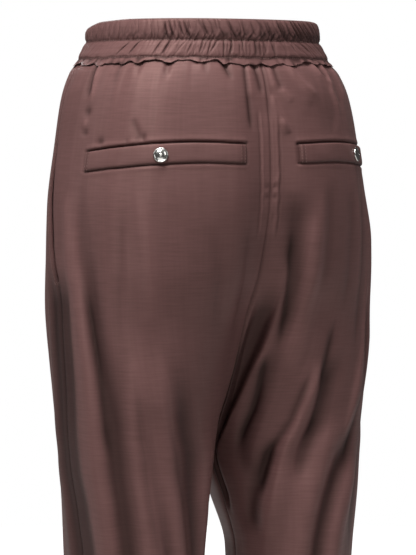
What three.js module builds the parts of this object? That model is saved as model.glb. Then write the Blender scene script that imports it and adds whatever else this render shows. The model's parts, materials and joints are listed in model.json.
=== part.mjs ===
import * as THREE from "three";

// Track pants with a gathered elastic waistband, worn and hollow. Millimetres, +Z up.
// The back faces +Y and the left leg is at +X. The origin is the middle of the waist, at the
// height of the stitches between the waistband's two tunnels.

// Cloth and seams
const WALL = 1.5;
const HEM_WALL = 2.6;
const SEAM_GAP = 0.3;
const CLOTH_COLOUR = 0x70504b;
const METAL_COLOUR = 0xc4c2be;

// Heights of the panels' edges
const PANEL_TOP_Z = -18.7;
const CROTCH_Z = -430;
const INNER_SEAM_TOP_Z = -390;
const HEM_TOP_Z = -909;
const HEM_Z = -934;
const HEM_MARGIN = 1;

// The body's sections are ovals, a little squarer than an ellipse, with a groove at the centre back.
const ROUNDNESS = 0.86;
const CLEFT_WIDTH = 32;

// Lengths around are shares of one half of the garment, 0 at the centre back, 1 at the centre front.
const AROUND = 450;

// Panel grids
const BACK_COLUMNS = 18;
const FRONT_COLUMNS = 13;
const ROW_STEPS = [
  { until: -34, step: 5.1 },
  { until: -60, step: 13 },
  { until: -560, step: 19 },
  { until: -860, step: 50 },
  { until: HEM_TOP_Z, step: 24.5 },
  { until: HEM_Z, step: 25 },
];

// A table's rows as objects with named columns.
const table = (columns, rows) =>
  rows.map((row) => Object.fromEntries(columns.map((name, i) => [name, row[i]])));

// One row for each level of the garment. The body's half width and its depths behind and before the
// origin, the groove's depth, then how far the section has turned into a leg, with the leg's outer and
// inner edge, its middle and half depth from back to front, and how far its back leans outwards.
const LEVELS = table(
  ["z", "half_width", "back", "front", "cleft", "leg_share", "outer", "inner", "leg_y", "leg_depth", "lean"],
  [
    [22, 119, 100.5, 88, 0, 0, 176, 0, 18, 110, 0],
    [0, 122.5, 102.5, 90, 0, 0, 176, 0, 18, 110, 0],
    [-20, 134, 108, 90, 1, 0, 176, 0, 18, 110, 0],
    [-34, 147, 117.5, 88.5, 1.5, 0, 176, 0, 18, 110, 0],
    [-60, 158, 126.5, 86.5, 3, 0, 176, 0, 18, 110, 0],
    [-110, 167.5, 135, 84.5, 6, 0, 176, 0, 18, 110, 0],
    [-170, 177, 140.5, 81.5, 10, 0.03, 176, 0, 22, 108, 3],
    [-230, 180, 136.5, 80, 12, 0.12, 176, 0, 26, 106, 8],
    [-300, 180.5, 118, 88, 10, 0.35, 176, 0, 23, 100, 14],
    [-360, 178, 114.5, 98, 5, 0.62, 176, 0, 17, 91, 13.5],
    [-400, 177, 114, 103.5, 2, 0.84, 175.5, 0, 13, 85, 12],
    [CROTCH_Z, 176, 114, 106, 0, 1, 174, 2, 12.5, 81.5, 10],
    [-480, 176, 114, 106, 0, 1, 168.5, 15.5, 18, 76.5, 2.5],
    [-533, 176, 114, 106, 0, 1, 162.5, 28, 21, 71.5, -3.5],
    [-650, 176, 114, 106, 0, 1, 156.5, 30, 19, 65, -5],
    [HEM_Z, 176, 114, 106, 0, 1, 157, 41, 8, 60, -2],
  ],
);

// Where the side seam runs, and how far the side pocket's mouth stands open.
const SIDE_SEAM = table(
  ["z", "share", "mouth"],
  [
    [PANEL_TOP_Z, 0.552, 0],
    [-100, 0.548, 0],
    [-120, 0.543, 1.6],
    [-165, 0.524, 3],
    [-205, 0.508, 2.8],
    [-238, 0.499, 1.4],
    [-250, 0.497, 0],
    [-300, 0.5, 0],
    [HEM_Z, 0.505, 0],
  ],
);

// Folds: soft ridges (depth above 0) and troughs, each along a path of shares around and heights.
const FOLDS = table(
  ["side", "width", "depth", "path"],
  [
    // Left leg, seen from behind
    ["left", 13, 3.5, [[0.45, -140], [0.444, -216], [0.43, -290], [0.415, -380], [0.42, -600], [0.42, -760]]],
    ["left", 12, -4, [[0.42, -145], [0.417, -216], [0.385, -290], [0.36, -390], [0.366, -600], [0.37, -740]]],
    ["left", 14, 3.5, [[0.3, -290], [0.306, -370], [0.312, -420], [0.318, -516], [0.32, -680]]],
    ["left", 10, -3, [[0.278, -350], [0.288, -420], [0.284, -470], [0.266, -540], [0.262, -650]]],
    ["left", 10, 2.5, [[0.235, -300], [0.25, -370], [0.254, -440], [0.24, -520], [0.23, -620]]],
    ["left", 12, -3.5, [[0.205, -320], [0.216, -400], [0.212, -470], [0.185, -530], [0.18, -650]]],
    ["left", 12, 2.5, [[0.15, -380], [0.163, -470], [0.14, -560], [0.13, -700]]],
    // Right leg, seen from behind
    ["right", 10, -3, [[0.035, -150], [0.042, -214], [0.05, -260], [0.062, -318]]],
    ["right", 10, 2.5, [[0.066, -170], [0.072, -230], [0.084, -300], [0.096, -350]]],
    ["right", 10, -5, [[0.044, -310], [0.053, -350], [0.054, -395], [0.075, -426], [0.092, -465]]],
    ["right", 12, 5, [[0.145, -325], [0.161, -382], [0.144, -440], [0.115, -480], [0.08, -525]]],
    ["right", 10, -3.5, [[0.128, -408], [0.108, -440], [0.072, -472], [0.045, -520]]],
    ["right", 11, -4, [[0.19, -320], [0.185, -366], [0.178, -420], [0.156, -468]]],
    ["right", 14, 4, [[0.226, -380], [0.214, -440], [0.18, -492], [0.162, -550], [0.15, -650]]],
    ["right", 11, 3.5, [[0.3, -150], [0.318, -240], [0.32, -310], [0.3, -352], [0.27, -415]]],
    ["right", 11, -4, [[0.286, -396], [0.269, -432], [0.24, -472], [0.219, -520], [0.21, -620]]],
    ["right", 13, 3, [[0.312, -420], [0.3, -464], [0.272, -508], [0.262, -620]]],
    ["right", 13, -3.5, [[0.4, -180], [0.405, -300], [0.375, -420], [0.35, -560]]],
    ["right", 13, 3, [[0.455, -200], [0.45, -330], [0.43, -470], [0.42, -640]]],
    // Fronts, finished with like folds
    ["left", 14, 3.5, [[0.62, -190], [0.64, -320], [0.63, -470], [0.62, -650]]],
    ["left", 13, -3.5, [[0.69, -240], [0.7, -360], [0.69, -500], [0.68, -620]]],
    ["left", 15, 4, [[0.78, -270], [0.775, -390], [0.76, -520], [0.75, -720]]],
    ["left", 11, -4, [[0.965, -320], [0.92, -365], [0.87, -420], [0.83, -490]]],
    ["left", 11, 2.5, [[0.95, -270], [0.9, -320], [0.86, -365], [0.82, -420]]],
    ["right", 14, 3.5, [[0.6, -210], [0.615, -330], [0.61, -480], [0.6, -620]]],
    ["right", 13, -3.5, [[0.67, -230], [0.675, -350], [0.66, -510], [0.65, -680]]],
    ["right", 15, 4, [[0.75, -250], [0.76, -370], [0.75, -520], [0.74, -700]]],
    ["right", 11, -4, [[0.96, -335], [0.915, -385], [0.865, -435], [0.825, -500]]],
    ["right", 11, 2.5, [[0.94, -280], [0.89, -335], [0.85, -385], [0.81, -450]]],
    // Soft dents below the waistband's gathers
    ["left", 9, -2.5, [[0.075, -26], [0.085, -70]]],
    ["left", 9, -2.5, [[0.231, -26], [0.232, -62]]],
    ["left", 9, -2.5, [[0.381, -26], [0.387, -66]]],
    ["left", 9, -2.5, [[0.64, -26], [0.645, -64]]],
    ["left", 9, -2.5, [[0.83, -26], [0.82, -68]]],
    ["right", 9, -2.5, [[0.06, -26], [0.085, -74]]],
    ["right", 9, -2.5, [[0.19, -26], [0.215, -66]]],
    ["right", 9, -2.5, [[0.36, -26], [0.375, -64]]],
    ["right", 9, -2.5, [[0.66, -26], [0.67, -66]]],
    ["right", 9, -2.5, [[0.85, -26], [0.84, -64]]],
  ],
);

// Folds fade out towards their two ends, the centre seams and the waistband.
const FOLD_END_SHARE = 0.22;
const SEAM_FADE = 16;
const TOP_FADE = { from: -27, to: -42 };

// Waistband: its outside from the top edge down to the lip, then its inside back up, as heights,
// distances out from the section, and how much of a gather's depth shows at each.
const BAND_PROFILE = table(
  ["z", "out", "gather", "wave"],
  [
    [20.2, 0.4, 0.5, 0],
    [17.8, 3, 1.6, 0],
    [11.5, 4.4, 2.4, 0],
    [5, 3.8, 2.2, 0],
    [0, 1.4, 0.9, 0],
    [-6, 3.4, 2.2, 0],
    [-12.5, 3.4, 1.9, 0],
    [-17.4, 1.5, 0.6, 0],
    [-23.8, 3.2, 1.2, 1],
    [-23.6, 1.2, 0, 1],
    [-18.4, 0.8, 0, 0],
    [-18.4, -2.2, 0, 0],
    [18.6, -1.8, 0, 0],
  ],
);
const GATHERS = 84;
const GATHER_JITTER = 0.34;
const SHALLOWEST_GATHER = 0.35;

// The lip's edge waves up and down, as two waves of their own number around, height and start.
const LIP_WAVES = table(
  ["count", "height", "start"],
  [
    [26, 1.6, 0],
    [17, 1, 1],
  ],
);

// How the gathers slant, in millimetres sideways for each millimetre up, in the upper and lower tunnel.
const GATHER_SLANTS = table(
  ["share", "upper", "lower"],
  [
    [0, -0.12, 0.1],
    [0.1, -0.04, -0.3],
    [0.2, 0, -0.5],
    [0.35, 0.1, -0.3],
    [0.5, -0.1, 0.15],
    [0.65, 0.25, 0.05],
    [0.8, -0.45, 0.1],
    [0.92, -0.3, 0.15],
    [1, -0.12, 0.1],
  ],
);

// Back pocket welts: shares around and heights of the middle line, and their height.
const WELT_LINE = table(
  ["share", "z", "height"],
  [
    [0.048, -117, 21.5],
    [0.144, -116, 22.5],
    [0.25, -117.5, 22.5],
    [0.34, -120.5, 22],
    [0.42, -124.5, 20.5],
  ],
);
const WELT_COLUMNS = 14;
const WELT_SEAT = 0.5;
const WELT_THICK = 1.8;

// Press studs, a lathe profile of radius and height from the seat to the crown
const SNAP_SHARE = { left: 0.225, right: 0.247 };
const SNAP_Z = -116.4;
const SNAP_PROFILE = [
  [0, 0],
  [6.8, 0],
  [7.5, 0.6],
  [7.5, 1.5],
  [7, 2.1],
  [6.3, 2.2],
  [5.7, 1.7],
  [4.4, 2.3],
  [2.4, 2.8],
  [0, 3],
];
const SNAP_SIDES = 18;

// Side pocket facings, behind the mouths
const FACING = { top: -94, bottom: -258, rows: 10, before: 10, behind: 34, columns: 6, seat: 0.9, thick: 1.2 };

const MIRROR = new THREE.Vector3(-1, 1, 1);
const { clamp, lerp, smoothstep } = THREE.MathUtils;

// An even value from 0 to 1 that differs for each whole number and each row of values.
function scatter(index, row) {
  const wide = Math.sin(index * 12.9898 + row * 78.233) * 43758.5453;
  return wide - Math.floor(wide);
}

// A smooth curve through one column of a table that never overshoots its rows.
function smoothColumn(rows, key, by) {
  const sorted = [...rows].sort((a, b) => a[by] - b[by]);
  const x = sorted.map((row) => row[by]);
  const y = sorted.map((row) => row[key]);
  const last = x.length - 1;
  const secant = (i) => (y[i + 1] - y[i]) / (x[i + 1] - x[i]);
  const slopes = x.map((_, i) => {
    if (i === 0) return secant(0);
    if (i === last) return secant(last - 1);
    const before = secant(i - 1);
    const after = secant(i);
    return before * after <= 0 ? 0 : (2 * before * after) / (before + after);
  });
  return (at) => {
    const place = clamp(at, x[0], x[last]);
    let i = 0;
    while (i < last - 1 && place > x[i + 1]) i += 1;
    const span = x[i + 1] - x[i];
    const u = (place - x[i]) / span;
    const v = 1 - u;
    const ends = y[i] * v * v * (1 + 2 * u) + y[i + 1] * u * u * (1 + 2 * v);
    return ends + span * u * v * (slopes[i] * v - slopes[i + 1] * u);
  };
}

const levelCurves = Object.fromEntries(
  Object.keys(LEVELS[0]).map((key) => [key, smoothColumn(LEVELS, key, "z")]),
);
const sideShare = smoothColumn(SIDE_SEAM, "share", "z");
const mouthWidth = smoothColumn(SIDE_SEAM, "mouth", "z");

// A point of the left half's section, before folds: t from 0 at the centre back or the back of the
// inner leg seam to 1 at the centre front or the front of that seam.
function sectionPoint(t, z) {
  const level = (key) => levelCurves[key](z);
  const turn = Math.PI * t;
  const across = Math.sin(turn) ** ROUNDNESS;
  const along = Math.sign(Math.cos(turn)) * Math.abs(Math.cos(turn)) ** ROUNDNESS;
  const bodyX = level("half_width") * across;
  const groove = along > 0 ? level("cleft") * Math.exp(-((bodyX / CLEFT_WIDTH) ** 2)) : 0;
  const bodyY = along * (along > 0 ? level("back") : level("front")) - groove;
  const middle = (level("outer") + level("inner")) / 2;
  const half = (level("outer") - level("inner")) / 2;
  const legX = middle - half * Math.cos(2 * turn) + level("lean") * Math.sin(2 * turn);
  const legY = level("leg_y") + level("leg_depth") * Math.sin(2 * turn);
  const share = level("leg_share");
  return new THREE.Vector3(
    lerp(bodyX, legX, share),
    lerp(bodyY, legY, share),
    z,
  );
}

const NORMAL_STEP = { share: 0.003, height: 2 };

// The direction out of the cloth, and the length that one whole share takes there.
function sectionFrame(t, z) {
  const from = Math.max(t - NORMAL_STEP.share, 0);
  const to = Math.min(t + NORMAL_STEP.share, 1);
  const around = sectionPoint(to, z).sub(sectionPoint(from, z));
  const down = sectionPoint(t, z - NORMAL_STEP.height).sub(sectionPoint(t, z + NORMAL_STEP.height));
  const stretch = around.length() / (to - from);
  return { normal: around.clone().cross(down).normalize(), stretch };
}

// How near a point lies to a fold's path, and where along it.
function alongPath(path, t, z) {
  const points = path.map(([share, height]) => new THREE.Vector2(share * AROUND, height));
  const at = new THREE.Vector2(t * AROUND, z);
  const lengths = points.slice(1).map((point, i) => point.distanceTo(points[i]));
  const total = lengths.reduce((sum, length) => sum + length, 0);
  let best = { distance: Infinity, share: 0 };
  let passed = 0;
  lengths.forEach((length, i) => {
    const leg = points[i + 1].clone().sub(points[i]);
    const u = clamp(at.clone().sub(points[i]).dot(leg) / leg.lengthSq(), 0, 1);
    const distance = points[i].clone().addScaledVector(leg, u).distanceTo(at);
    if (distance < best.distance) best = { distance, share: (passed + u * length) / total };
    passed += length;
  });
  return best;
}

function foldDepth(side, t, z, stretch) {
  const fromSeam = Math.min(t, 1 - t) * stretch;
  const fade = smoothstep(fromSeam, 0, SEAM_FADE) * smoothstep(-z, -TOP_FADE.from, -TOP_FADE.to);
  if (fade === 0) return 0;
  return FOLDS.filter((fold) => fold.side === side).reduce((sum, fold) => {
    const { distance, share } = alongPath(fold.path, t, z);
    const ends = smoothstep(share, 0, FOLD_END_SHARE) * smoothstep(1 - share, 0, FOLD_END_SHARE);
    return sum + fade * ends * fold.depth * Math.exp(-((distance / fold.width) ** 2));
  }, 0);
}

// A point of the folded cloth on one side, moved out of its outer face by a distance.
function clothPoint(side, t, z, out) {
  const { normal, stretch } = sectionFrame(t, z);
  const point = sectionPoint(t, z).addScaledVector(normal, out + foldDepth(side, t, z, stretch));
  point.x += SEAM_GAP / 2;
  return side === "left" ? point : point.multiply(MIRROR);
}

function geometryOf(points, faces) {
  const geometry = new THREE.BufferGeometry();
  geometry.setAttribute(
    "position",
    new THREE.Float32BufferAttribute(points.flatMap((point) => point.toArray()), 3),
  );
  geometry.setIndex(faces.flat());
  geometry.computeVertexNormals();
  return geometry;
}

// A closed wall from a grid of outer points and one of inner points. Rows run down and columns run
// from the back to the front of the left half, and the other way round on the right.
function wallGeometry(outer, inner, mirrored) {
  const rows = outer.length;
  const columns = outer[0].length;
  const offset = rows * columns;
  const at = (i, j) => i * columns + j;
  const faces = [];
  const quad = (a, b, c, d) => {
    const turned = mirrored ? [d, c, b, a] : [a, b, c, d];
    faces.push([turned[0], turned[1], turned[2]], [turned[0], turned[2], turned[3]]);
  };
  for (let i = 0; i < rows - 1; i += 1) {
    for (let j = 0; j < columns - 1; j += 1) {
      const corners = [at(i, j), at(i, j + 1), at(i + 1, j + 1), at(i + 1, j)];
      quad(...corners);
      quad(...corners.map((corner) => corner + offset).reverse());
    }
  }
  const rim = (a, b) => quad(b, a, a + offset, b + offset);
  for (let j = 0; j < columns - 1; j += 1) {
    rim(at(0, j), at(0, j + 1));
    rim(at(rows - 1, j + 1), at(rows - 1, j));
  }
  for (let i = 0; i < rows - 1; i += 1) {
    rim(at(i + 1, 0), at(i, 0));
    rim(at(i, columns - 1), at(i + 1, columns - 1));
  }
  return geometryOf([...outer.flat(), ...inner.flat()], faces);
}

function panelHeights() {
  const heights = [PANEL_TOP_Z];
  for (const { until, step } of ROW_STEPS) {
    const from = heights.at(-1);
    const count = Math.max(1, Math.round((from - until) / step));
    for (let i = 1; i <= count; i += 1) heights.push(from + ((until - from) * i) / count);
  }
  return heights;
}

// The shares that a panel spans at one height, half a seam gap short of its neighbours. Near and
// below the crotch the back and the front meet at the inner leg seam too.
function panelSpan(part, z) {
  const share = sideShare(z);
  const halfGap = (at) => SEAM_GAP / 2 / sectionFrame(at, z).stretch;
  const inner = z < INNER_SEAM_TOP_Z ? 1 : 0;
  if (part === "back") return [inner * halfGap(0), share - halfGap(share)];
  const mouth = mouthWidth(z) / sectionFrame(share, z).stretch;
  return [share + halfGap(share) + mouth, 1 - inner * halfGap(1)];
}

function panel(side, part) {
  const columns = part === "back" ? BACK_COLUMNS : FRONT_COLUMNS;
  const heights = panelHeights();
  const grid = (depth) =>
    heights.map((z) => {
      const [from, to] = panelSpan(part, z);
      return Array.from({ length: columns }, (_, j) =>
        clothPoint(side, lerp(from, to, j / (columns - 1)), z, depth(z)),
      );
    });
  const outer = grid(() => 0);
  const inner = grid((z) => (z < HEM_TOP_Z + HEM_MARGIN ? -HEM_WALL : -WALL));
  return wallGeometry(outer, inner, side === "right");
}

// A point of the waistband's section, level all round: share 0 is the centre back, then the left side.
function bandPoint(share, z, out) {
  const whole = share - Math.floor(share);
  const onLeft = whole <= 0.5;
  const t = onLeft ? 2 * whole : 2 - 2 * whole;
  const { normal } = sectionFrame(t, z);
  normal.setZ(0).normalize();
  const point = sectionPoint(t, z).addScaledVector(normal, out);
  return onLeft ? point : point.multiply(MIRROR);
}

function waistband() {
  const slants = {
    upper: smoothColumn(GATHER_SLANTS, "upper", "share"),
    lower: smoothColumn(GATHER_SLANTS, "lower", "share"),
  };
  const columns = 2 * GATHERS;
  const rows = BAND_PROFILE.length;
  const points = BAND_PROFILE.flatMap((row) =>
    Array.from({ length: columns }, (_, j) => {
      const tunnel = row.z > 0 ? "upper" : "lower";
      const shift = (scatter(j, 1) - 0.5) * GATHER_JITTER;
      const straight = (j + shift) / columns;
      const slanted = straight + (slants[tunnel](straight) * row.z) / (2 * AROUND);
      const share = row.gather > 0 ? slanted : j / columns;
      const deep = lerp(SHALLOWEST_GATHER, 1, scatter(j, tunnel === "upper" ? 2 : 3));
      const gather = j % 2 ? row.gather * deep : 0;
      const ripple = LIP_WAVES.reduce(
        (sum, wave) => sum + wave.height * Math.sin(2 * Math.PI * wave.count * share + wave.start),
        0,
      );
      return bandPoint(share, row.z - row.wave * ripple, row.out - gather);
    }),
  );
  const faces = [];
  for (let i = 0; i < rows; i += 1) {
    for (let j = 0; j < columns; j += 1) {
      const below = ((i + 1) % rows) * columns;
      const next = (j + 1) % columns;
      const corners = [i * columns + j, i * columns + next, below + next, below + j];
      faces.push([corners[0], corners[1], corners[2]], [corners[0], corners[2], corners[3]]);
    }
  }
  return geometryOf(points, faces);
}

function welt(side) {
  const middle = smoothColumn(WELT_LINE, "z", "share");
  const height = smoothColumn(WELT_LINE, "height", "share");
  const from = WELT_LINE[0].share;
  const to = WELT_LINE.at(-1).share;
  const grid = (out, bow) =>
    [0.5, 0.25, -0.25, -0.5].map((part) =>
      Array.from({ length: WELT_COLUMNS }, (_, j) => {
        const t = lerp(from, to, j / (WELT_COLUMNS - 1));
        const z = middle(t) + part * height(t);
        return clothPoint(side, t, z, out + bow * (Math.abs(part) < 0.5 ? 1 : 0));
      }),
    );
  return wallGeometry(grid(WELT_SEAT + WELT_THICK - 0.4, 0.4), grid(WELT_SEAT, 0), side === "right");
}

function pocketFacing(side) {
  const grid = (out) =>
    Array.from({ length: FACING.rows }, (_, i) => {
      const z = lerp(FACING.top, FACING.bottom, i / (FACING.rows - 1));
      const share = sideShare(z);
      const { stretch } = sectionFrame(share, z);
      return Array.from({ length: FACING.columns }, (_, j) => {
        const along = lerp(-FACING.before, FACING.behind, j / (FACING.columns - 1));
        return clothPoint(side, share + along / stretch, z, out);
      });
    });
  const outside = -WALL - FACING.seat;
  return wallGeometry(grid(outside), grid(outside - FACING.thick), side === "right");
}

const snapSeat = WELT_SEAT + WELT_THICK + SEAM_GAP;
const snapGeometry = new THREE.LatheGeometry(
  SNAP_PROFILE.map(([radius, height]) => new THREE.Vector2(radius, height)),
  SNAP_SIDES,
);

function snap(side, material) {
  const mesh = new THREE.Mesh(snapGeometry, material);
  const { normal } = sectionFrame(SNAP_SHARE[side], SNAP_Z);
  if (side === "right") normal.multiply(MIRROR);
  mesh.quaternion.setFromUnitVectors(new THREE.Vector3(0, 1, 0), normal);
  mesh.position.copy(clothPoint(side, SNAP_SHARE[side], SNAP_Z, snapSeat));
  return mesh;
}

const clothMaterial = () =>
  new THREE.MeshStandardMaterial({ color: CLOTH_COLOUR, roughness: 0.45, metalness: 0 });
const metalMaterial = () =>
  new THREE.MeshStandardMaterial({ color: METAL_COLOUR, roughness: 0.2, metalness: 1 });

const group = new THREE.Group();

function add(name, mesh) {
  mesh.name = name;
  group.add(mesh);
}

add("waistband", new THREE.Mesh(waistband(), clothMaterial()));
for (const side of ["left", "right"]) {
  add(`back_${side}`, new THREE.Mesh(panel(side, "back"), clothMaterial()));
  add(`front_${side}`, new THREE.Mesh(panel(side, "front"), clothMaterial()));
  add(`welt_${side}`, new THREE.Mesh(welt(side), clothMaterial()));
  add(`pocket_${side}`, new THREE.Mesh(pocketFacing(side), clothMaterial()));
  add(`snap_${side}`, snap(side, metalMaterial()));
}

export default group;
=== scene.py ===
"""Track pants with a gathered elastic waistband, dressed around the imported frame.

Tables and sizes are in millimetres and become metres as the meshes are made. The back faces +Y and
the left leg is at +X. Places on the cloth are a share of one half's way round, from 0 at the centre
back to 1 at the centre front, and a height above the stitches between the waistband's tunnels.
"""

import json
import logging
import math
from dataclasses import dataclass, field
from enum import Enum
from typing import Callable, Iterable, Sequence

import bpy
import numpy as np
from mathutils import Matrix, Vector

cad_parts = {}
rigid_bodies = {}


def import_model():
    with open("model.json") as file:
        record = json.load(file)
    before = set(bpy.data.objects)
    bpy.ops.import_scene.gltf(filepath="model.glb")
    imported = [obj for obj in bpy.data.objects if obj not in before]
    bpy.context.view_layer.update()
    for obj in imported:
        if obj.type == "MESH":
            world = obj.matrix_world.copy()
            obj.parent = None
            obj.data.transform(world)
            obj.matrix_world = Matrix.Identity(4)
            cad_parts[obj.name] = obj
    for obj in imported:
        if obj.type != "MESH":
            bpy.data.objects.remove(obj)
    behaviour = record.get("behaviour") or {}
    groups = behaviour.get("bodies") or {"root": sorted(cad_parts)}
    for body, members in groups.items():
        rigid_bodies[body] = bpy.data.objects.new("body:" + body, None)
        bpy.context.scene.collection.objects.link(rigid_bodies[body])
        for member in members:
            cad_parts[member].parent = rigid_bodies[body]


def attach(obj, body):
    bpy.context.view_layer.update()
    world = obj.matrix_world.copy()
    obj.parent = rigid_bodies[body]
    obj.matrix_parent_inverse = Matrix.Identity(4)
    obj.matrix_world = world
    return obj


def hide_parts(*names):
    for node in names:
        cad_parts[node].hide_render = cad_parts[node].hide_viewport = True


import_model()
LOG = logging.getLogger("track_pants")

Array = np.ndarray
Path = Sequence[tuple[float, float]]

MM = 0.001
BODY = "root"

# One half's way round at the hips, which turns shares into millimetres closely enough for folds
AROUND = 450.0
SEAM_GAP = 0.04
WALL = 1.5
HEM_WALL = 2.6

# Heights above the stitches between the waistband's tunnels
PANEL_TOP = -18.7
CROTCH = -430.0
INNER_SEAM_TOP = -390.0
HEM_TOP = -909.0
HEM = -934.0


class Side(Enum):
    """A half of the garment, with the sign of its X."""

    LEFT = 1
    RIGHT = -1


class Part(Enum):
    """Which of one half's two leg panels a piece of cloth is."""

    BACK = "back"
    FRONT = "front"


# The worn form's sections, each leg's parts of them after its share
LEVELS = [
    # z, half width, back, front, cleft, leg share, outer, inner, leg y, leg depth, lean
    (22, 119, 100.5, 88, 0, 0, 176, 0, 18, 110, 0),
    (0, 122.5, 102.5, 90, 0, 0, 176, 0, 18, 110, 0),
    (-20, 134, 108, 90, 1, 0, 176, 0, 18, 110, 0),
    (-34, 147, 117.5, 88.5, 1.5, 0, 176, 0, 18, 110, 0),
    (-60, 158, 126.5, 86.5, 3, 0, 176, 0, 18, 110, 0),
    (-110, 167.5, 135, 84.5, 6, 0, 176, 0, 18, 110, 0),
    (-170, 177, 140.5, 81.5, 10, 0.03, 176, 0, 22, 108, 3),
    (-230, 180, 136.5, 80, 12, 0.12, 176, 0, 26, 106, 8),
    (-300, 180.5, 118, 88, 10, 0.35, 176, 0, 23, 100, 14),
    (-360, 178, 114.5, 98, 5, 0.62, 176, 0, 17, 91, 13.5),
    (-400, 177, 114, 103.5, 2, 0.84, 175.5, 0, 13, 85, 12),
    (CROTCH, 176, 114, 106, 0, 1, 174, 2, 12.5, 81.5, 10),
    (-480, 176, 114, 106, 0, 1, 168.5, 15.5, 18, 76.5, 2.5),
    (-533, 176, 114, 106, 0, 1, 162.5, 28, 21, 71.5, -3.5),
    (-650, 176, 114, 106, 0, 1, 156.5, 30, 19, 65, -5),
    (HEM, 176, 114, 106, 0, 1, 157, 41, 8, 60, -2),
]
LEVEL_NAMES = (
    "z half_width back front cleft leg_share outer inner leg_y leg_depth lean".split()
)

SIDE_SEAM = [
    # z, share round, how far the pocket mouth stands open
    (PANEL_TOP, 0.552, 0),
    (-100, 0.548, 0),
    (-120, 0.543, 1.6),
    (-165, 0.524, 3),
    (-205, 0.508, 2.8),
    (-238, 0.499, 1.4),
    (-250, 0.497, 0),
    (-300, 0.5, 0),
    (HEM, 0.505, 0),
]


def smoothstep(value: Array, low: float, high: float) -> Array:
    """A soft step from 0 at low to 1 at high."""
    u = np.clip((value - low) / (high - low), 0, 1)
    return u * u * (3 - 2 * u)


def bell(distance: Array, width: float, power: float = 2.0) -> Array:
    """A bump of height 1 about 0: round where power is 2, crisper below it."""
    return np.exp(-(np.abs(distance / width) ** power))


class SmoothTable:
    """A table whose columns are smooth curves of its first, and never overshoot its rows."""

    def __init__(self, names: Sequence[str], rows: Iterable[Sequence[float]]) -> None:
        """Fits the curves.

        Args:
            names: the columns' names, the first being what the others follow.
            rows: the table's rows, in any order.
        """
        data = np.array(sorted(rows), float)
        self.x = data[:, 0]
        self.columns = {name: data[:, i] for i, name in enumerate(names)}
        self.slopes = {name: self._slopes(y) for name, y in self.columns.items()}

    def _slopes(self, y: Array) -> Array:
        """The slope at each row: the harmonic mean of its two sides, and 0 at a turn."""
        secant = np.diff(y) / np.diff(self.x)
        before, after = secant[:-1], secant[1:]
        turns = before * after <= 0
        total = np.where(turns, 1, before + after)
        inside = np.where(turns, 0, 2 * before * after / total)
        return np.concatenate([secant[:1], inside, secant[-1:]])

    def at(self, name: str, x: Array) -> Array:
        """One column's value.

        Args:
            name: the column.
            x: where, in the first column's units.

        Returns:
            The values, in x's shape.
        """
        y, slopes = self.columns[name], self.slopes[name]
        place = np.clip(np.asarray(x, float), self.x[0], self.x[-1])
        i = np.clip(np.searchsorted(self.x, place) - 1, 0, len(self.x) - 2)
        span = self.x[i + 1] - self.x[i]
        u = (place - self.x[i]) / span
        v = 1 - u
        ends = y[i] * v * v * (1 + 2 * u) + y[i + 1] * u * u * (1 + 2 * v)
        return ends + span * u * v * (slopes[i] * v - slopes[i + 1] * u)


@dataclass(frozen=True)
class Noise:
    """Smooth even noise from -1 to 1, the same in each run."""

    seed: int
    cells: int = 64

    def at(self, u: Array, v: Array) -> Array:
        """The noise at places measured in cells."""
        lattice = np.random.default_rng(self.seed).uniform(-1, 1, (self.cells, self.cells))
        i, j = np.floor(u).astype(int), np.floor(v).astype(int)
        a, b = smoothstep(u - i, 0, 1), smoothstep(v - j, 0, 1)

        def corner(down: int, along: int) -> Array:
            return lattice[(i + down) % self.cells, (j + along) % self.cells]

        near = corner(0, 0) * (1 - a) + corner(1, 0) * a
        far = corner(0, 1) * (1 - a) + corner(1, 1) * a
        return near * (1 - b) + far * b


@dataclass(frozen=True)
class Fold:
    """A soft ridge, or a trough where its depth is below 0, along a path over the cloth.

    Power shapes its section, 2 for a round one and less for a crisp one. Taper is how much of its
    width it loses on its way.
    """

    side: Side
    width: float
    depth: float
    path: Path
    power: float = 2.0
    ends: float = 0.22
    taper: float = 0.0

    def height(self, t: Array, z: Array) -> Array:
        """How far it lifts the cloth at each place."""
        points = np.array([(share * AROUND, z_at) for share, z_at in self.path])
        legs = np.diff(points, axis=0)
        lengths = np.hypot(legs[:, 0], legs[:, 1])
        best = np.full(t.shape, np.inf)
        along = np.zeros(t.shape)
        passed = 0.0
        for point, leg, length in zip(points, legs, lengths):
            across, down = t * AROUND - point[0], z - point[1]
            u = np.clip((across * leg[0] + down * leg[1]) / length**2, 0, 1)
            distance = np.hypot(across - u * leg[0], down - u * leg[1])
            nearer = distance < best
            along = np.where(nearer, (passed + u * length) / lengths.sum(), along)
            best = np.where(nearer, distance, best)
            passed += length
        fade = smoothstep(along, 0, self.ends) * smoothstep(1 - along, 0, self.ends)
        return self.depth * fade * bell(best / (1 - self.taper * along), self.width, self.power)


L, R = Side.LEFT, Side.RIGHT

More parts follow.
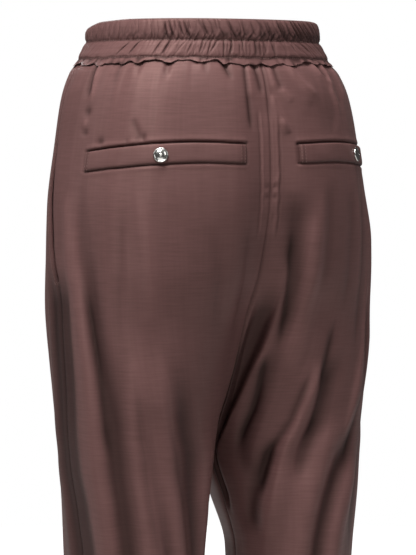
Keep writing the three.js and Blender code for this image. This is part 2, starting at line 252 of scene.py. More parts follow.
# The main folds, which the solids have too
MAIN_FOLDS = [
    # Left leg, seen from behind
    Fold(
        L, 13, 3.5, [(0.45, -140), (0.433, -216), (0.414, -290), (0.399, -380), (0.404, -600), (0.404, -760)]
    ),
    Fold(L, 11, -4, [(0.42, -145), (0.412, -216), (0.386, -290), (0.364, -390), (0.37, -600), (0.372, -740)]),
    Fold(L, 14, 3.5, [(0.284, -290), (0.29, -370), (0.296, -420), (0.302, -516), (0.304, -680)]),
    Fold(L, 9, -3, [(0.28, -350), (0.289, -420), (0.282, -470), (0.262, -540), (0.254, -650)]),
    Fold(L, 10, 2.5, [(0.232, -300), (0.247, -370), (0.252, -440), (0.236, -520), (0.224, -620)]),
    Fold(L, 12, -3.5, [(0.189, -320), (0.2, -400), (0.196, -470), (0.169, -530), (0.164, -650)]),
    Fold(L, 12, 2.5, [(0.134, -380), (0.147, -470), (0.124, -560), (0.114, -700)]),
    # Right leg, seen from behind
    Fold(R, 10, -3, [(0.035, -150), (0.053, -214), (0.067, -260), (0.079, -318)]),
    Fold(R, 10, 2.5, [(0.069, -170), (0.086, -230), (0.101, -300), (0.113, -350)]),
    Fold(R, 9, -2, [(0.061, -310), (0.066, -350), (0.068, -395), (0.078, -426), (0.09, -465)]),
    Fold(R, 12, 5, [(0.162, -325), (0.178, -382), (0.161, -440), (0.132, -480), (0.097, -525)]),
    Fold(R, 10, -3.5, [(0.145, -408), (0.125, -440), (0.089, -472), (0.062, -520)]),
    Fold(R, 11, -4, [(0.207, -320), (0.202, -366), (0.195, -420), (0.173, -468)]),
    Fold(R, 14, 4, [(0.243, -380), (0.231, -440), (0.197, -492), (0.179, -550), (0.167, -650)]),
    Fold(R, 11, 3.5, [(0.3, -150), (0.333, -240), (0.337, -310), (0.317, -352), (0.287, -415)]),
    Fold(R, 11, -4, [(0.303, -396), (0.286, -432), (0.257, -472), (0.236, -520), (0.227, -620)]),
    Fold(R, 13, 3, [(0.329, -420), (0.317, -464), (0.289, -508), (0.279, -620)]),
    Fold(R, 13, -3.5, [(0.405, -180), (0.422, -300), (0.392, -420), (0.367, -560)]),
    Fold(R, 13, 3, [(0.464, -200), (0.467, -330), (0.447, -470), (0.437, -640)]),
    # Fronts
    Fold(L, 14, 3.5, [(0.62, -190), (0.64, -320), (0.63, -470), (0.62, -650)]),
    Fold(L, 13, -3.5, [(0.69, -240), (0.7, -360), (0.69, -500), (0.68, -620)]),
    Fold(L, 15, 4, [(0.78, -270), (0.775, -390), (0.76, -520), (0.75, -720)]),
    Fold(L, 11, -4, [(0.965, -320), (0.92, -365), (0.87, -420), (0.83, -490)]),
    Fold(L, 11, 2.5, [(0.95, -270), (0.9, -320), (0.86, -365), (0.82, -420)]),
    Fold(R, 14, 3.5, [(0.6, -210), (0.615, -330), (0.61, -480), (0.6, -620)]),
    Fold(R, 13, -3.5, [(0.67, -230), (0.675, -350), (0.66, -510), (0.65, -680)]),
    Fold(R, 15, 4, [(0.75, -250), (0.76, -370), (0.75, -520), (0.74, -700)]),
    Fold(R, 11, -4, [(0.96, -335), (0.915, -385), (0.865, -435), (0.825, -500)]),
    Fold(R, 11, 2.5, [(0.94, -280), (0.89, -335), (0.85, -385), (0.81, -450)]),
    # Soft dents below the waistband's gathers
    Fold(L, 9, -2.5, [(0.64, -26), (0.645, -64)]),
    Fold(L, 9, -2.5, [(0.83, -26), (0.82, -68)]),
    Fold(R, 9, -2.5, [(0.36, -26), (0.375, -64)]),
    Fold(R, 9, -2.5, [(0.66, -26), (0.67, -66)]),
    Fold(R, 9, -2.5, [(0.85, -26), (0.84, -64)]),
]

# Finer, crisper creases that only the cloth itself shows
FINE_FOLDS = [
    # Left back, under the waistband
    Fold(L, 2.2, -2.2, [(0.034, -18), (0.036, -40), (0.036, -55), (0.034, -78), (0.032, -98)], 1.5),
    Fold(L, 3.5, 1, [(0.024, -22), (0.03, -42), (0.03, -62)]),
    Fold(L, 2.6, -1.8, [(0.014, -20), (0.011, -36), (0.008, -47), (0.006, -58)], 1.5),
    Fold(L, 4, -2, [(0.088, -14), (0.076, -33), (0.065, -43)], 1.6, 0.3, 0.5),
    Fold(L, 4, -0.9, [(0.137, -14), (0.124, -38)], 2, 0.4, 0.5),
    Fold(L, 8, -2, [(0.231, -8), (0.223, -44)], 1.8, 0.4, 0.7),
    Fold(L, 7, -1.2, [(0.314, -8), (0.304, -40)], 2, 0.45, 0.6),
    Fold(L, 4, -0.8, [(0.372, -14), (0.362, -52)], 2, 0.4),
    Fold(L, 3, 2, [(0.449, -20), (0.438, -32), (0.435, -40), (0.43, -49), (0.427, -66)], 1.5),
    Fold(L, 4, -2, [(0.459, -20), (0.45, -36), (0.444, -48), (0.44, -62)], 1.6),
    Fold(L, 4, -1.5, [(0.434, -66), (0.434, -82)], 2, 0.5),
    Fold(L, 4, -1.3, [(0.435, -89), (0.434, -101)], 2, 0.5),
    Fold(L, 2.6, 1, [(0.436, -80), (0.441, -93)], 1.6, 0.4),
    Fold(L, 4, -1.5, [(0.385, -98), (0.38, -111)], 2, 0.5),
    Fold(L, 3.5, -0.9, [(0.302, -80), (0.286, -94), (0.268, -106)], 1.8),
    Fold(L, 2, -1, [(0.27, -94), (0.268, -107)], 1.5, 0.4),
    Fold(L, 2, -0.8, [(0.286, -98), (0.284, -107)], 1.5, 0.4),
    Fold(L, 2, -0.7, [(0.312, -100), (0.311, -108)], 1.5, 0.4),
    # Left back, below the welt
    Fold(L, 5, -1.3, [(0.427, -128), (0.424, -180), (0.42, -230), (0.4, -284), (0.384, -352)], 1.6),
    Fold(L, 6, 1.2, [(0.47, -150), (0.458, -210), (0.45, -260)]),
    Fold(L, 5, -1.3, [(0.376, -380), (0.37, -440), (0.376, -505), (0.38, -580)], 1.5),
    Fold(L, 4.5, -1.4, [(0.238, -380), (0.236, -430), (0.222, -490), (0.206, -540), (0.2, -600)], 1.5),
    Fold(L, 4.5, -1, [(0.296, -330), (0.302, -400), (0.304, -470), (0.292, -540)], 1.5),
    Fold(L, 5, -1.2, [(0.035, -184), (0.033, -224), (0.028, -268), (0.03, -320)], 1.6),
    Fold(L, 7, -1, [(0.12, -180), (0.1, -230), (0.09, -300)]),
    Fold(L, 8, 1.1, [(0.27, -150), (0.25, -220), (0.245, -300)]),
    Fold(L, 6, -0.9, [(0.31, -160), (0.32, -240), (0.33, -330)]),
    Fold(L, 5, -1, [(0.105, -400), (0.12, -450), (0.11, -520), (0.1, -600)], 1.6),
    Fold(L, 19, -5.5, [(0.502, -226), (0.5, -300), (0.492, -400), (0.488, -520), (0.488, -720)], 5, 0.1),
    Fold(L, 4, -1.8, [(0.414, -240), (0.398, -282), (0.388, -322), (0.38, -372), (0.374, -432)], 1.5),
    Fold(L, 10, -1.6, [(0.34, -300), (0.338, -400), (0.336, -500), (0.34, -640)]),
    # Right back, under the waistband
    Fold(R, 2.6, 1.4, [(0.014, -20), (0.012, -32), (0.012, -40), (0.016, -52)], 1.5),
    Fold(R, 3, -1.4, [(0.021, -24), (0.022, -40), (0.028, -54)], 1.5),
    Fold(R, 4.5, 2, [(0.058, -18), (0.066, -36), (0.086, -48), (0.1, -52), (0.123, -61)], 1.6),
    Fold(R, 3.5, 1, [(0.022, -48), (0.045, -64)], 1.6),
    Fold(R, 3.4, 2.4, [(0.141, -16), (0.156, -35), (0.182, -45), (0.182, -54), (0.2, -78)], 1.5),
    Fold(R, 3, 1.9, [(0.201, -18), (0.194, -31), (0.192, -39), (0.187, -50)], 1.5),
    Fold(R, 3, -2, [(0.171, -20), (0.174, -33), (0.184, -41)], 1.5),
    Fold(R, 5, -1.2, [(0.226, -20), (0.214, -72)], 1.6),
    Fold(R, 4, 1.8, [(0.272, -18), (0.256, -35), (0.254, -47), (0.25, -64)], 1.6),
    Fold(R, 3.2, 2.2, [(0.004, -54), (0.008, -67), (0.016, -77), (0.021, -87), (0.026, -97)], 1.5),
    Fold(R, 2.6, 1.5, [(0.018, -81), (0.032, -95)], 1.5),
    Fold(R, 16, -1.2, [(0.08, -60), (0.12, -72), (0.18, -88)]),
    # Right back, below the welt
    Fold(R, 3, -1.8, [(0.038, -188), (0.042, -224), (0.05, -250), (0.066, -283), (0.07, -326)], 1.4),
    Fold(R, 4, 1.5, [(0.036, -220), (0.046, -262), (0.05, -290), (0.043, -312), (0.034, -344)], 1.6),
    Fold(
        R,
        9,
        -8,
        [(0.024, -246), (0.026, -285), (0.02, -313), (0.011, -345), (0.005, -385), (0.003, -440)],
        4,
        0.3,
        0.35,
    ),
    Fold(R, 6, -5, [(0.004, -400), (0.004, -440), (0.008, -500)], 3, 0.3),
    Fold(R, 4, -2.4, [(0.05, -318), (0.055, -346), (0.066, -384), (0.063, -404), (0.074, -428)], 1.5),
    Fold(R, 4.5, -2.4, [(0.156, -332), (0.15, -363), (0.149, -392), (0.128, -434), (0.1, -480)], 1.5),
    Fold(R, 4, 1.8, [(0.174, -326), (0.167, -372), (0.162, -401), (0.154, -437), (0.12, -490)], 1.6),
    Fold(R, 4.5, -2.2, [(0.187, -282), (0.187, -327), (0.187, -348), (0.194, -398), (0.18, -432)], 1.5),
    Fold(R, 3, 1.6, [(0.302, -216), (0.307, -288), (0.3, -331), (0.29, -363), (0.277, -425)], 1.4),
    Fold(R, 4.5, -2, [(0.318, -250), (0.322, -310), (0.314, -363), (0.302, -418), (0.294, -460)], 1.5),
    Fold(R, 4, -1, [(0.245, -140), (0.262, -200), (0.272, -280), (0.27, -330)], 1.6),
    Fold(R, 5, 1, [(0.225, -150), (0.24, -210), (0.25, -280)], 1.7),
    Fold(R, 7, -1.4, [(0.12, -140), (0.125, -200), (0.13, -262)]),
    Fold(R, 7, 1.4, [(0.09, -150), (0.094, -214), (0.104, -280)]),
    Fold(R, 6, -1.3, [(0.2, -150), (0.205, -220), (0.21, -280)]),
    # Fronts
    Fold(L, 5, -1.3, [(0.66, -180), (0.668, -260), (0.664, -360), (0.65, -450)], 1.6),
    Fold(L, 5, 1.2, [(0.72, -230), (0.73, -330), (0.725, -420)], 1.6),
    Fold(L, 4.5, -1.4, [(0.97, -290), (0.935, -335), (0.9, -372), (0.86, -410)], 1.5),
    Fold(L, 4.5, 1.2, [(0.985, -330), (0.95, -372), (0.9, -420), (0.87, -470)], 1.6),
    Fold(L, 4, -1.3, [(0.9, -24), (0.89, -60), (0.87, -110)], 1.5),
    Fold(L, 4, 1.1, [(0.79, -24), (0.785, -60), (0.78, -120)], 1.6),
    Fold(L, 4, -1.1, [(0.7, -24), (0.704, -56), (0.71, -100)], 1.5),
    Fold(L, 5, -1.2, [(0.8, -400), (0.81, -500), (0.8, -620)], 1.6),
    Fold(R, 5, -1.3, [(0.64, -200), (0.648, -280), (0.64, -380), (0.63, -470)], 1.6),
    Fold(R, 5, 1.2, [(0.7, -220), (0.71, -320), (0.705, -430)], 1.6),
    Fold(R, 4.5, -1.4, [(0.975, -300), (0.94, -345), (0.9, -384), (0.86, -430)], 1.5),
    Fold(R, 4.5, 1.2, [(0.98, -345), (0.945, -388), (0.895, -440), (0.865, -490)], 1.6),
    Fold(R, 4, -1.3, [(0.93, -24), (0.915, -64), (0.9, -120)], 1.5),
    Fold(R, 4, 1.1, [(0.81, -24), (0.8, -64), (0.79, -124)], 1.6),
    Fold(R, 4, -1.1, [(0.72, -24), (0.722, -60), (0.73, -110)], 1.5),
    Fold(R, 5, -1.2, [(0.79, -410), (0.8, -510), (0.79, -640)], 1.6),
]


@dataclass(frozen=True)
class Welt:
    """Where the back pocket's welt lies, and how its opening marks the cloth round it."""

    line: SmoothTable = field(
        default_factory=lambda: SmoothTable(
            ("share", "z", "height"),
            [
                (0.048, -116.3, 18.2),
                (0.144, -114.8, 18.8),
                (0.25, -116.9, 19.3),
                (0.34, -120.4, 19.1),
                (0.42, -124.5, 18.6),
            ],
        )
    )
    share_from: float = 0.048
    share_to: float = 0.42

    def edge(self, t: Array, part: Array | float) -> Array:
        """The height at a part of the welt's own height, from -0.5 at its foot to 0.5."""
        return self.line.at("z", t) + part * self.line.at("height", t)

    def mark(self, t: Array, z: Array) -> Array:
        """The slit above the welt, and the seams at its foot and its two ends, as a relief."""
        within = smoothstep(t, self.share_from - 0.006, self.share_from) * smoothstep(
            self.share_to + 0.006 - t, 0, 0.006
        )
        slit = -2.2 * bell(z - self.edge(t, 0.5) - 1.3, 1.2)
        foot = -1.2 * bell(z - self.edge(t, -0.5) + 0.9, 1.2)
        roll = 0.45 * bell(z - self.edge(t, -0.5) + 4, 2) + 0.5 * bell(z - self.edge(t, 0.5) - 5, 2.4)
        high = smoothstep(z, self.edge(t, -0.5) - 3, self.edge(t, -0.5)) * smoothstep(
            self.edge(t, 0.5) + 3 - z, 0, 3
        )
        ends = -1.1 * high * (
            bell((t - self.share_from) * AROUND + 1, 1.2)
            + bell((t - self.share_to) * AROUND - 1, 1.2)
        )
        return within * (slit + foot + roll) + ends


SNAP_SHARES = {Side.LEFT: 0.227, Side.RIGHT: 0.241}


class WornForm:
    """The worn, hollow form that every piece of cloth lies on."""

    ROUNDNESS = 0.86
    CLEFT_WIDTH = 32.0
    SHARE_STEP = 0.003
    HEIGHT_STEP = 2.0
    SEAM_FADE = 16.0
    TOP_FADE = (-27.0, -42.0)
    FINE_TOP_FADE = (-16.0, -24.0)
    FULLNESS = 1.4
    JOIN_GAP = 0.02
    JOIN_WIDTH = 5.0
    JOIN_FADE = 12.0
    BROAD = 5.0
    # The depths at which a crease and a broad trough get their full painted shade, and the limits of that
    # painted shade; below 0 it is a painted highlight on a ridge
    CREASE_SHADE_DEPTH = 2.2
    TROUGH_SHADE_DEPTH = 5.5
    PAINTED_HIGHLIGHT_LIMIT = -0.3
    PAINTED_SHADE_LIMIT = 1.2
    # The middle and the half width of the painted shade beside the left side seam
    SIDE_SHADE_SHARE = 0.575
    SIDE_SHADE_WIDTH = 26.0
    WAVES = [
        # depth, width, height
        (0.6, 26, 150),
        (0.34, 11, 80),
        (0.13, 5, 42),
    ]

    def __init__(self) -> None:
        """Fits the curves of the section tables."""
        self.levels = SmoothTable(LEVEL_NAMES, LEVELS)
        self.sides = SmoothTable(("z", "share", "mouth"), SIDE_SEAM)
        self.welt = Welt()

    def section(self, t: Array, z: Array) -> Array:
        """Points of the left half's section, before any folds.

        Args:
            t: shares round, 0 at the centre back and 1 at the centre front.
            z: heights, in the same shape.

        Returns:
            The points, with their three coordinates last.
        """
        t, z = np.broadcast_arrays(np.asarray(t, float), np.asarray(z, float))
        level = {name: self.levels.at(name, z) for name in LEVEL_NAMES[1:]}
        turn = math.pi * t
        cosine = np.cos(turn)
        across = np.clip(np.sin(turn), 0, 1) ** self.ROUNDNESS
        along = np.sign(cosine) * np.abs(cosine) ** self.ROUNDNESS
        body_x = level["half_width"] * across
        groove = np.where(along > 0, level["cleft"] * bell(body_x, self.CLEFT_WIDTH), 0)
        body_y = along * np.where(along > 0, level["back"], level["front"]) - groove
        middle = (level["outer"] + level["inner"]) / 2
        half = (level["outer"] - level["inner"]) / 2
        leg_x = middle - half * np.cos(2 * turn) + level["lean"] * np.sin(2 * turn)
        leg_y = level["leg_y"] + level["leg_depth"] * np.sin(2 * turn)
        share = level["leg_share"]
        x = body_x + (leg_x - body_x) * share
        y = body_y + (leg_y - body_y) * share
        return np.stack([x, y, z], axis=-1)

    def frame_at(self, t: Array, z: Array) -> tuple[Array, Array]:
        """The direction out of the cloth, and the length that one whole share takes there.

        Args:
            t: shares round.
            z: heights.

        Returns:
            The normals, and the stretches in millimetres a share.
        """
        start = np.maximum(t - self.SHARE_STEP, 0)
        stop = np.minimum(t + self.SHARE_STEP, 1)
        around = self.section(stop, z) - self.section(start, z)
        down = self.section(t, z - self.HEIGHT_STEP) - self.section(t, z + self.HEIGHT_STEP)
        normal = np.cross(around, down)
        normal /= np.linalg.norm(normal, axis=-1, keepdims=True)
        return normal, np.linalg.norm(around, axis=-1) / (stop - start)

    def relief(self, side: Side, t: Array, z: Array, stretch: Array) -> tuple[Array, Array]:
        """How far folds, creases and seams lift the cloth, and the painted shade that they leave in its
        colour.

        Args:
            side: which half.
            t: shares round.
            z: heights.
            stretch: millimetres a share.

        Returns:
            Heights in millimetres, and the painted shade: below 0 a painted highlight on a ridge, up to its
            limit down a crease.
        """
        from_seam = np.minimum(t, 1 - t) * stretch
        seam_fade = smoothstep(from_seam, 0, self.SEAM_FADE)
        main_fade = seam_fade * smoothstep(-z, -self.TOP_FADE[0], -self.TOP_FADE[1])
        top_fade = smoothstep(-z, -self.FINE_TOP_FADE[0], -self.FINE_TOP_FADE[1])
        fine_fade = smoothstep(from_seam, 1, 6) * top_fade
        main = sum(fold.height(t, z) for fold in MAIN_FOLDS if fold.side is side)
        fine = [fold for fold in FINE_FOLDS if fold.side is side]
        narrow = sum(fold.height(t, z) for fold in fine if fold.width < self.BROAD)
        wide = sum(fold.height(t, z) for fold in fine if fold.width >= self.BROAD)
        seams = self.seams(side, t, z, stretch)
        small = fine_fade * narrow + seams
        broad = self.FULLNESS * main_fade * main
        lift = broad + fine_fade * (wide + self.slack(side, t, z)) + small
        hollow = broad + top_fade * wide
        # Painted shade: creases, seams and troughs darken the colour, and ridges lighten it as a painted
        # highlight
        closed = np.clip(-small / self.CREASE_SHADE_DEPTH, -0.25, 1)
        closed = closed + np.clip(-hollow / self.TROUGH_SHADE_DEPTH, self.PAINTED_HIGHLIGHT_LIMIT, 0.9)
        if side is L:
            # Painted shade darkens the cloth in front of the left side seam, as if it turned away from the
            # light
            turned = bell((t - self.SIDE_SHADE_SHARE) * AROUND, self.SIDE_SHADE_WIDTH, 4)
            closed = closed + 0.4 * turned * smoothstep(-z, 200, 280)
        return lift, np.clip(closed, self.PAINTED_HIGHLIGHT_LIMIT, self.PAINTED_SHADE_LIMIT)

    def slack(self, side: Side, t: Array, z: Array) -> Array:
        """The loose cloth's long shallow waves and fine upright wrinkles."""
        seed = 11 if side is L else 47
        drift = 9 * Noise(seed).at(t * 5, z / 120)
        across = t * AROUND + drift
        total = 0
        for i, (depth, width, height) in enumerate(self.WAVES, 1):
            total = total + depth * Noise(seed + i).at(across / width, z / height)
        # Gathers let go into short flutes just below the waistband
        under = smoothstep(z, -92, -26)
        total += under * 0.45 * Noise(seed + 4).at(t * AROUND / 9, z / 60)
        return total

    def seams(self, side: Side, t: Array, z: Array, stretch: Array) -> Array:
        """The seams' grooves, and the seam allowances that show through at the centre back."""
        from_back = t * stretch
        groove = -1.0 * bell(from_back, 1.5)
        pressed = smoothstep(-z, 70, 84) * smoothstep(z, -206, -186)
        width = 10.5 if side is L else 8.5
        edge = width + 0.5 * Noise(5).at(z / 9, t * 0)
        plateau = 0.6 * pressed * (1 - smoothstep(from_back - edge, -0.7, 0.7))
        plateau += 0.5 * pressed * bell(from_back - edge + 1.2, 1.1)
        plateau -= 0.7 * pressed * bell(from_back - edge - 1, 1.2)
        crumpled = smoothstep(-z, 132, 146) * smoothstep(z, -200, -182)
        crumple = 0.8 * crumpled * bell(from_back - 5, 5) * Noise(31).at(from_back / 4, z / 5)
        from_front = (1 - t) * stretch
        inner = smoothstep(-z, -INNER_SEAM_TOP - 30, -INNER_SEAM_TOP + 20)
        groove += -0.9 * bell(from_front, 1.5) * np.maximum(inner, 0.6)
        from_side = (t - self.sides.at("share", z)) * stretch
        groove += -0.9 * bell(from_side, 1.6)
        # The side pocket's slit is open, so its edges sink in a deeper groove, which darkens them both in
        # real shading and with painted shade through the relief's second value
        groove += -1.6 * np.clip(self.sides.at("mouth", z), 0, 1) * bell(from_side, 2.4)
        hem_stitch = -0.5 * bell(z - HEM_TOP, 1.6)
        back = self.welt.mark(t, z) if np.min(t) < 0.5 else 0
        return groove + plateau + crumple + hem_stitch + back

    def cloth(self, side: Side, t: Array, z: Array, out: Array | float = 0) -> Array:
        """Points of the folded cloth.

        Args:
            side: which half.
            t: shares round.
            z: heights.
            out: how far outside its outer face, in millimetres.

        Returns:
            The points, with their three coordinates last.
        """
        t, z = np.broadcast_arrays(np.asarray(t, float), np.asarray(z, float))
        normal, stretch = self.frame_at(t, z)
        lift = np.asarray(out + self.relief(side, t, z, stretch)[0])
        # Above the inner seams the two halves meet edge to edge, so their edges stay upright
        from_centre = np.minimum(t, 1 - t) * stretch
        free = np.maximum(
            smoothstep(from_centre, 0, self.JOIN_WIDTH),
            smoothstep(-z, -INNER_SEAM_TOP, -INNER_SEAM_TOP + self.JOIN_FADE),
        )
        shift = normal * lift[..., None]
        shift[..., 0] = self.JOIN_GAP + (shift[..., 0] + SEAM_GAP / 2 - self.JOIN_GAP) * free
        points = self.section(t, z) + shift
        points[..., 0] *= side.value
        return points


FORM = WornForm()


def link_mesh(name: str, mesh: bpy.types.Mesh) -> bpy.types.Object:
    """A new object of that mesh, at the origin."""
    made = bpy.data.objects.new(name, mesh)
    bpy.context.scene.collection.objects.link(made)
    return made


def mesh_object(
    name: str, points: Array, quads: Array, uvs: Array, recess: Array, crease: float = 55
) -> bpy.types.Object:
    """A smooth mesh from points in millimetres.

    Args:
        name: the object's name.
        points: its vertices, one a row.
        quads: its faces, each four rows of points.
        uvs: one pair for each vertex, in metres over the cloth.
        recess: painted shade for each vertex, 0 on open cloth, more down a crease and less, as a painted
            highlight, on a ridge.
        crease: edges that turn by more degrees than this stay sharp.

    Returns:
        The object.
    """
    mesh = bpy.data.meshes.new(name)
    mesh.from_pydata((points * MM).tolist(), [], quads.tolist())
    layer = mesh.uv_layers.new(name="cloth")
    corners = np.empty(len(mesh.loops), dtype=np.int32)
    mesh.loops.foreach_get("vertex_index", corners)
    layer.data.foreach_set("uv", uvs[corners].astype(np.float32).ravel())
    # The painted shade is kept as a point attribute, which darkens the satin's colour
    closed = mesh.attributes.new("recess", "FLOAT", "POINT")
    closed.data.foreach_set("value", recess.astype(np.float32).ravel())
    mesh.polygons.foreach_set("use_smooth", np.ones(len(mesh.polygons), bool))
    mesh.set_sharp_from_angle(angle=math.radians(crease))
    mesh.update()
    return link_mesh(name, mesh)


def grid_quads(rows: int, columns: int, start: int = 0, ring: bool = False) -> Array:
    """Faces over a grid of vertices, turned outwards where rows run down and columns leftwards."""
    i, j = np.meshgrid(np.arange(rows - 1), np.arange(columns if ring else columns - 1), indexing="ij")
    after = (j + 1) % columns
    corners = [i * columns + j, i * columns + after, (i + 1) * columns + after, (i + 1) * columns + j]
    return np.stack([corner.ravel() for corner in corners], axis=1) + start


def wall_quads(rows: int, columns: int) -> Array:
    """Faces of a closed wall: an outer grid, an inner one after it, and the rim between them."""
    offset = rows * columns
    outer = grid_quads(rows, columns)
    inner = grid_quads(rows, columns, offset)[:, ::-1]

    def rim(edge: Array) -> Array:
        a, b = edge[:-1], edge[1:]
        return np.stack([b, a, a + offset, b + offset], axis=1)

    index = np.arange(offset).reshape(rows, columns)
    edges = [index[0], index[-1][::-1], index[:, 0][::-1], index[:, -1]]
    return np.concatenate([outer, inner, *map(rim, edges)])


def wall_object(
    name: str, side: Side, outer: Array, inner: Array, uvs: Array, recess: Array
) -> bpy.types.Object:
    """A closed wall of cloth.

    Args:
        name: the object's name.
        side: its half, which decides which way its faces turn.
        outer: the outer face's grid of points.
        inner: the inner face's.
        uvs: the outer grid's places over the cloth, in metres.
        recess: the painted shade of the outer grid's cloth; the inner grid gets none.

    Returns:
        The object.
    """
    rows, columns = outer.shape[:2]
    quads = wall_quads(rows, columns)
    if side is R:
        quads = quads[:, ::-1]
    points = np.concatenate([outer.reshape(-1, 3), inner.reshape(-1, 3)])
    pairs = np.concatenate([uvs.reshape(-1, 2)] * 2)
    return mesh_object(name, points, quads, pairs, np.concatenate([recess.ravel(), recess.ravel() * 0]))


def dress(piece: bpy.types.Object, material: bpy.types.Material, slot: str, *nodes: str) -> None:
    """Gives a piece its finish and its body, and hides the solids that it stands for.

    Args:
        piece: the object.
        material: its finish.
        slot: the record's material slot; not used.
        nodes: the solids that it replaces.
    """
    piece.data.materials.clear()
    piece.data.materials.append(material)
    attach(piece, BODY)
    if nodes:
        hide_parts(*nodes)
    LOG.info("%s: %d faces", piece.name, len(piece.data.polygons))


def cloth_uv(t: Array, z: Array) -> Array:
    """Places over the cloth in metres."""
    t, z = np.broadcast_arrays(t, z)
    return np.stack([t * AROUND * MM, z * MM], axis=-1)


@dataclass
class Panel:
    """One leg panel, from the waistband to the hem that is turned up inside it."""

    side: Side
    part: Part
    columns: int
    flat: tuple[float, float]
    area: float
    fine_step: float = 2.4
    welt_step: float = 1.1
    coarse_step: float = 5.0
    welt_zone: tuple[float, float] = (-100.0, -140.0)
    coarse_from: float = -560.0
    crowding: float = 1.3
    front_crowding: float = 1.1

    @property
    def name(self) -> str:
        """The name of the node that the panel stands for."""
        return f"{self.part.value}_{self.side.name.lower()}"

    def heights(self) -> Array:
        """The rows' heights, close together down to the calves."""
        above, below = self.welt_zone
        stops = [(PANEL_TOP, above, self.fine_step), (above, below, self.welt_step)]
        stops += [(below, self.coarse_from, self.fine_step)]
        stops += [(self.coarse_from, HEM_TOP, self.coarse_step), (HEM_TOP, HEM, self.fine_step)]
        runs = [np.linspace(a, b, max(2, round((a - b) / step)), endpoint=False) for a, b, step in stops]
        return np.concatenate([*runs, [HEM]])

    def spans(self, z: Array) -> tuple[Array, Array]:
        """The shares between which the panel lies at each height."""
        share = FORM.sides.at("share", z)
        joined = z < INNER_SEAM_TOP

        def half_gap(at: Array) -> Array:
            return SEAM_GAP / 2 / FORM.frame_at(at, z)[1]

        if self.part is Part.BACK:
            return joined * half_gap(np.zeros_like(z)), share - half_gap(share)
        mouth = FORM.sides.at("mouth", z) / FORM.frame_at(share, z)[1]
        return share + half_gap(share) + mouth, 1 - joined * half_gap(np.ones_like(z))

    def shares(self) -> Array:
        """Each column's part of the way across, closer together beside the centre seam."""
        even = np.linspace(0, 1, self.columns)
        if self.part is Part.BACK:
            return even**self.crowding
        return 1 - (1 - even) ** self.front_crowding

    def build(self, satin: bpy.types.Material) -> bpy.types.Object:
        """Makes the panel.

        Args:
            satin: the cloth's finish.

        Returns:
            The piece.
        """
        z = self.heights()
        start, stop = self.spans(z)
        t = start[:, None] + (stop - start)[:, None] * self.shares()[None, :]
        z = np.broadcast_to(z[:, None], t.shape)
        wall = np.where(z < HEM_TOP + 1, HEM_WALL, WALL)
        outer = FORM.cloth(self.side, t, z)
        inner = FORM.cloth(self.side, t, z, -wall)
        # Painted shade down the panel's creases and troughs, and a painted highlight on its ridges
        recess = FORM.relief(self.side, t, z, FORM.frame_at(t, z)[1])[1]
        piece = wall_object(self.name + "_cloth", self.side, outer, inner, cloth_uv(t, z), recess)
        dress(piece, satin, "cloth", self.name)
        return piece


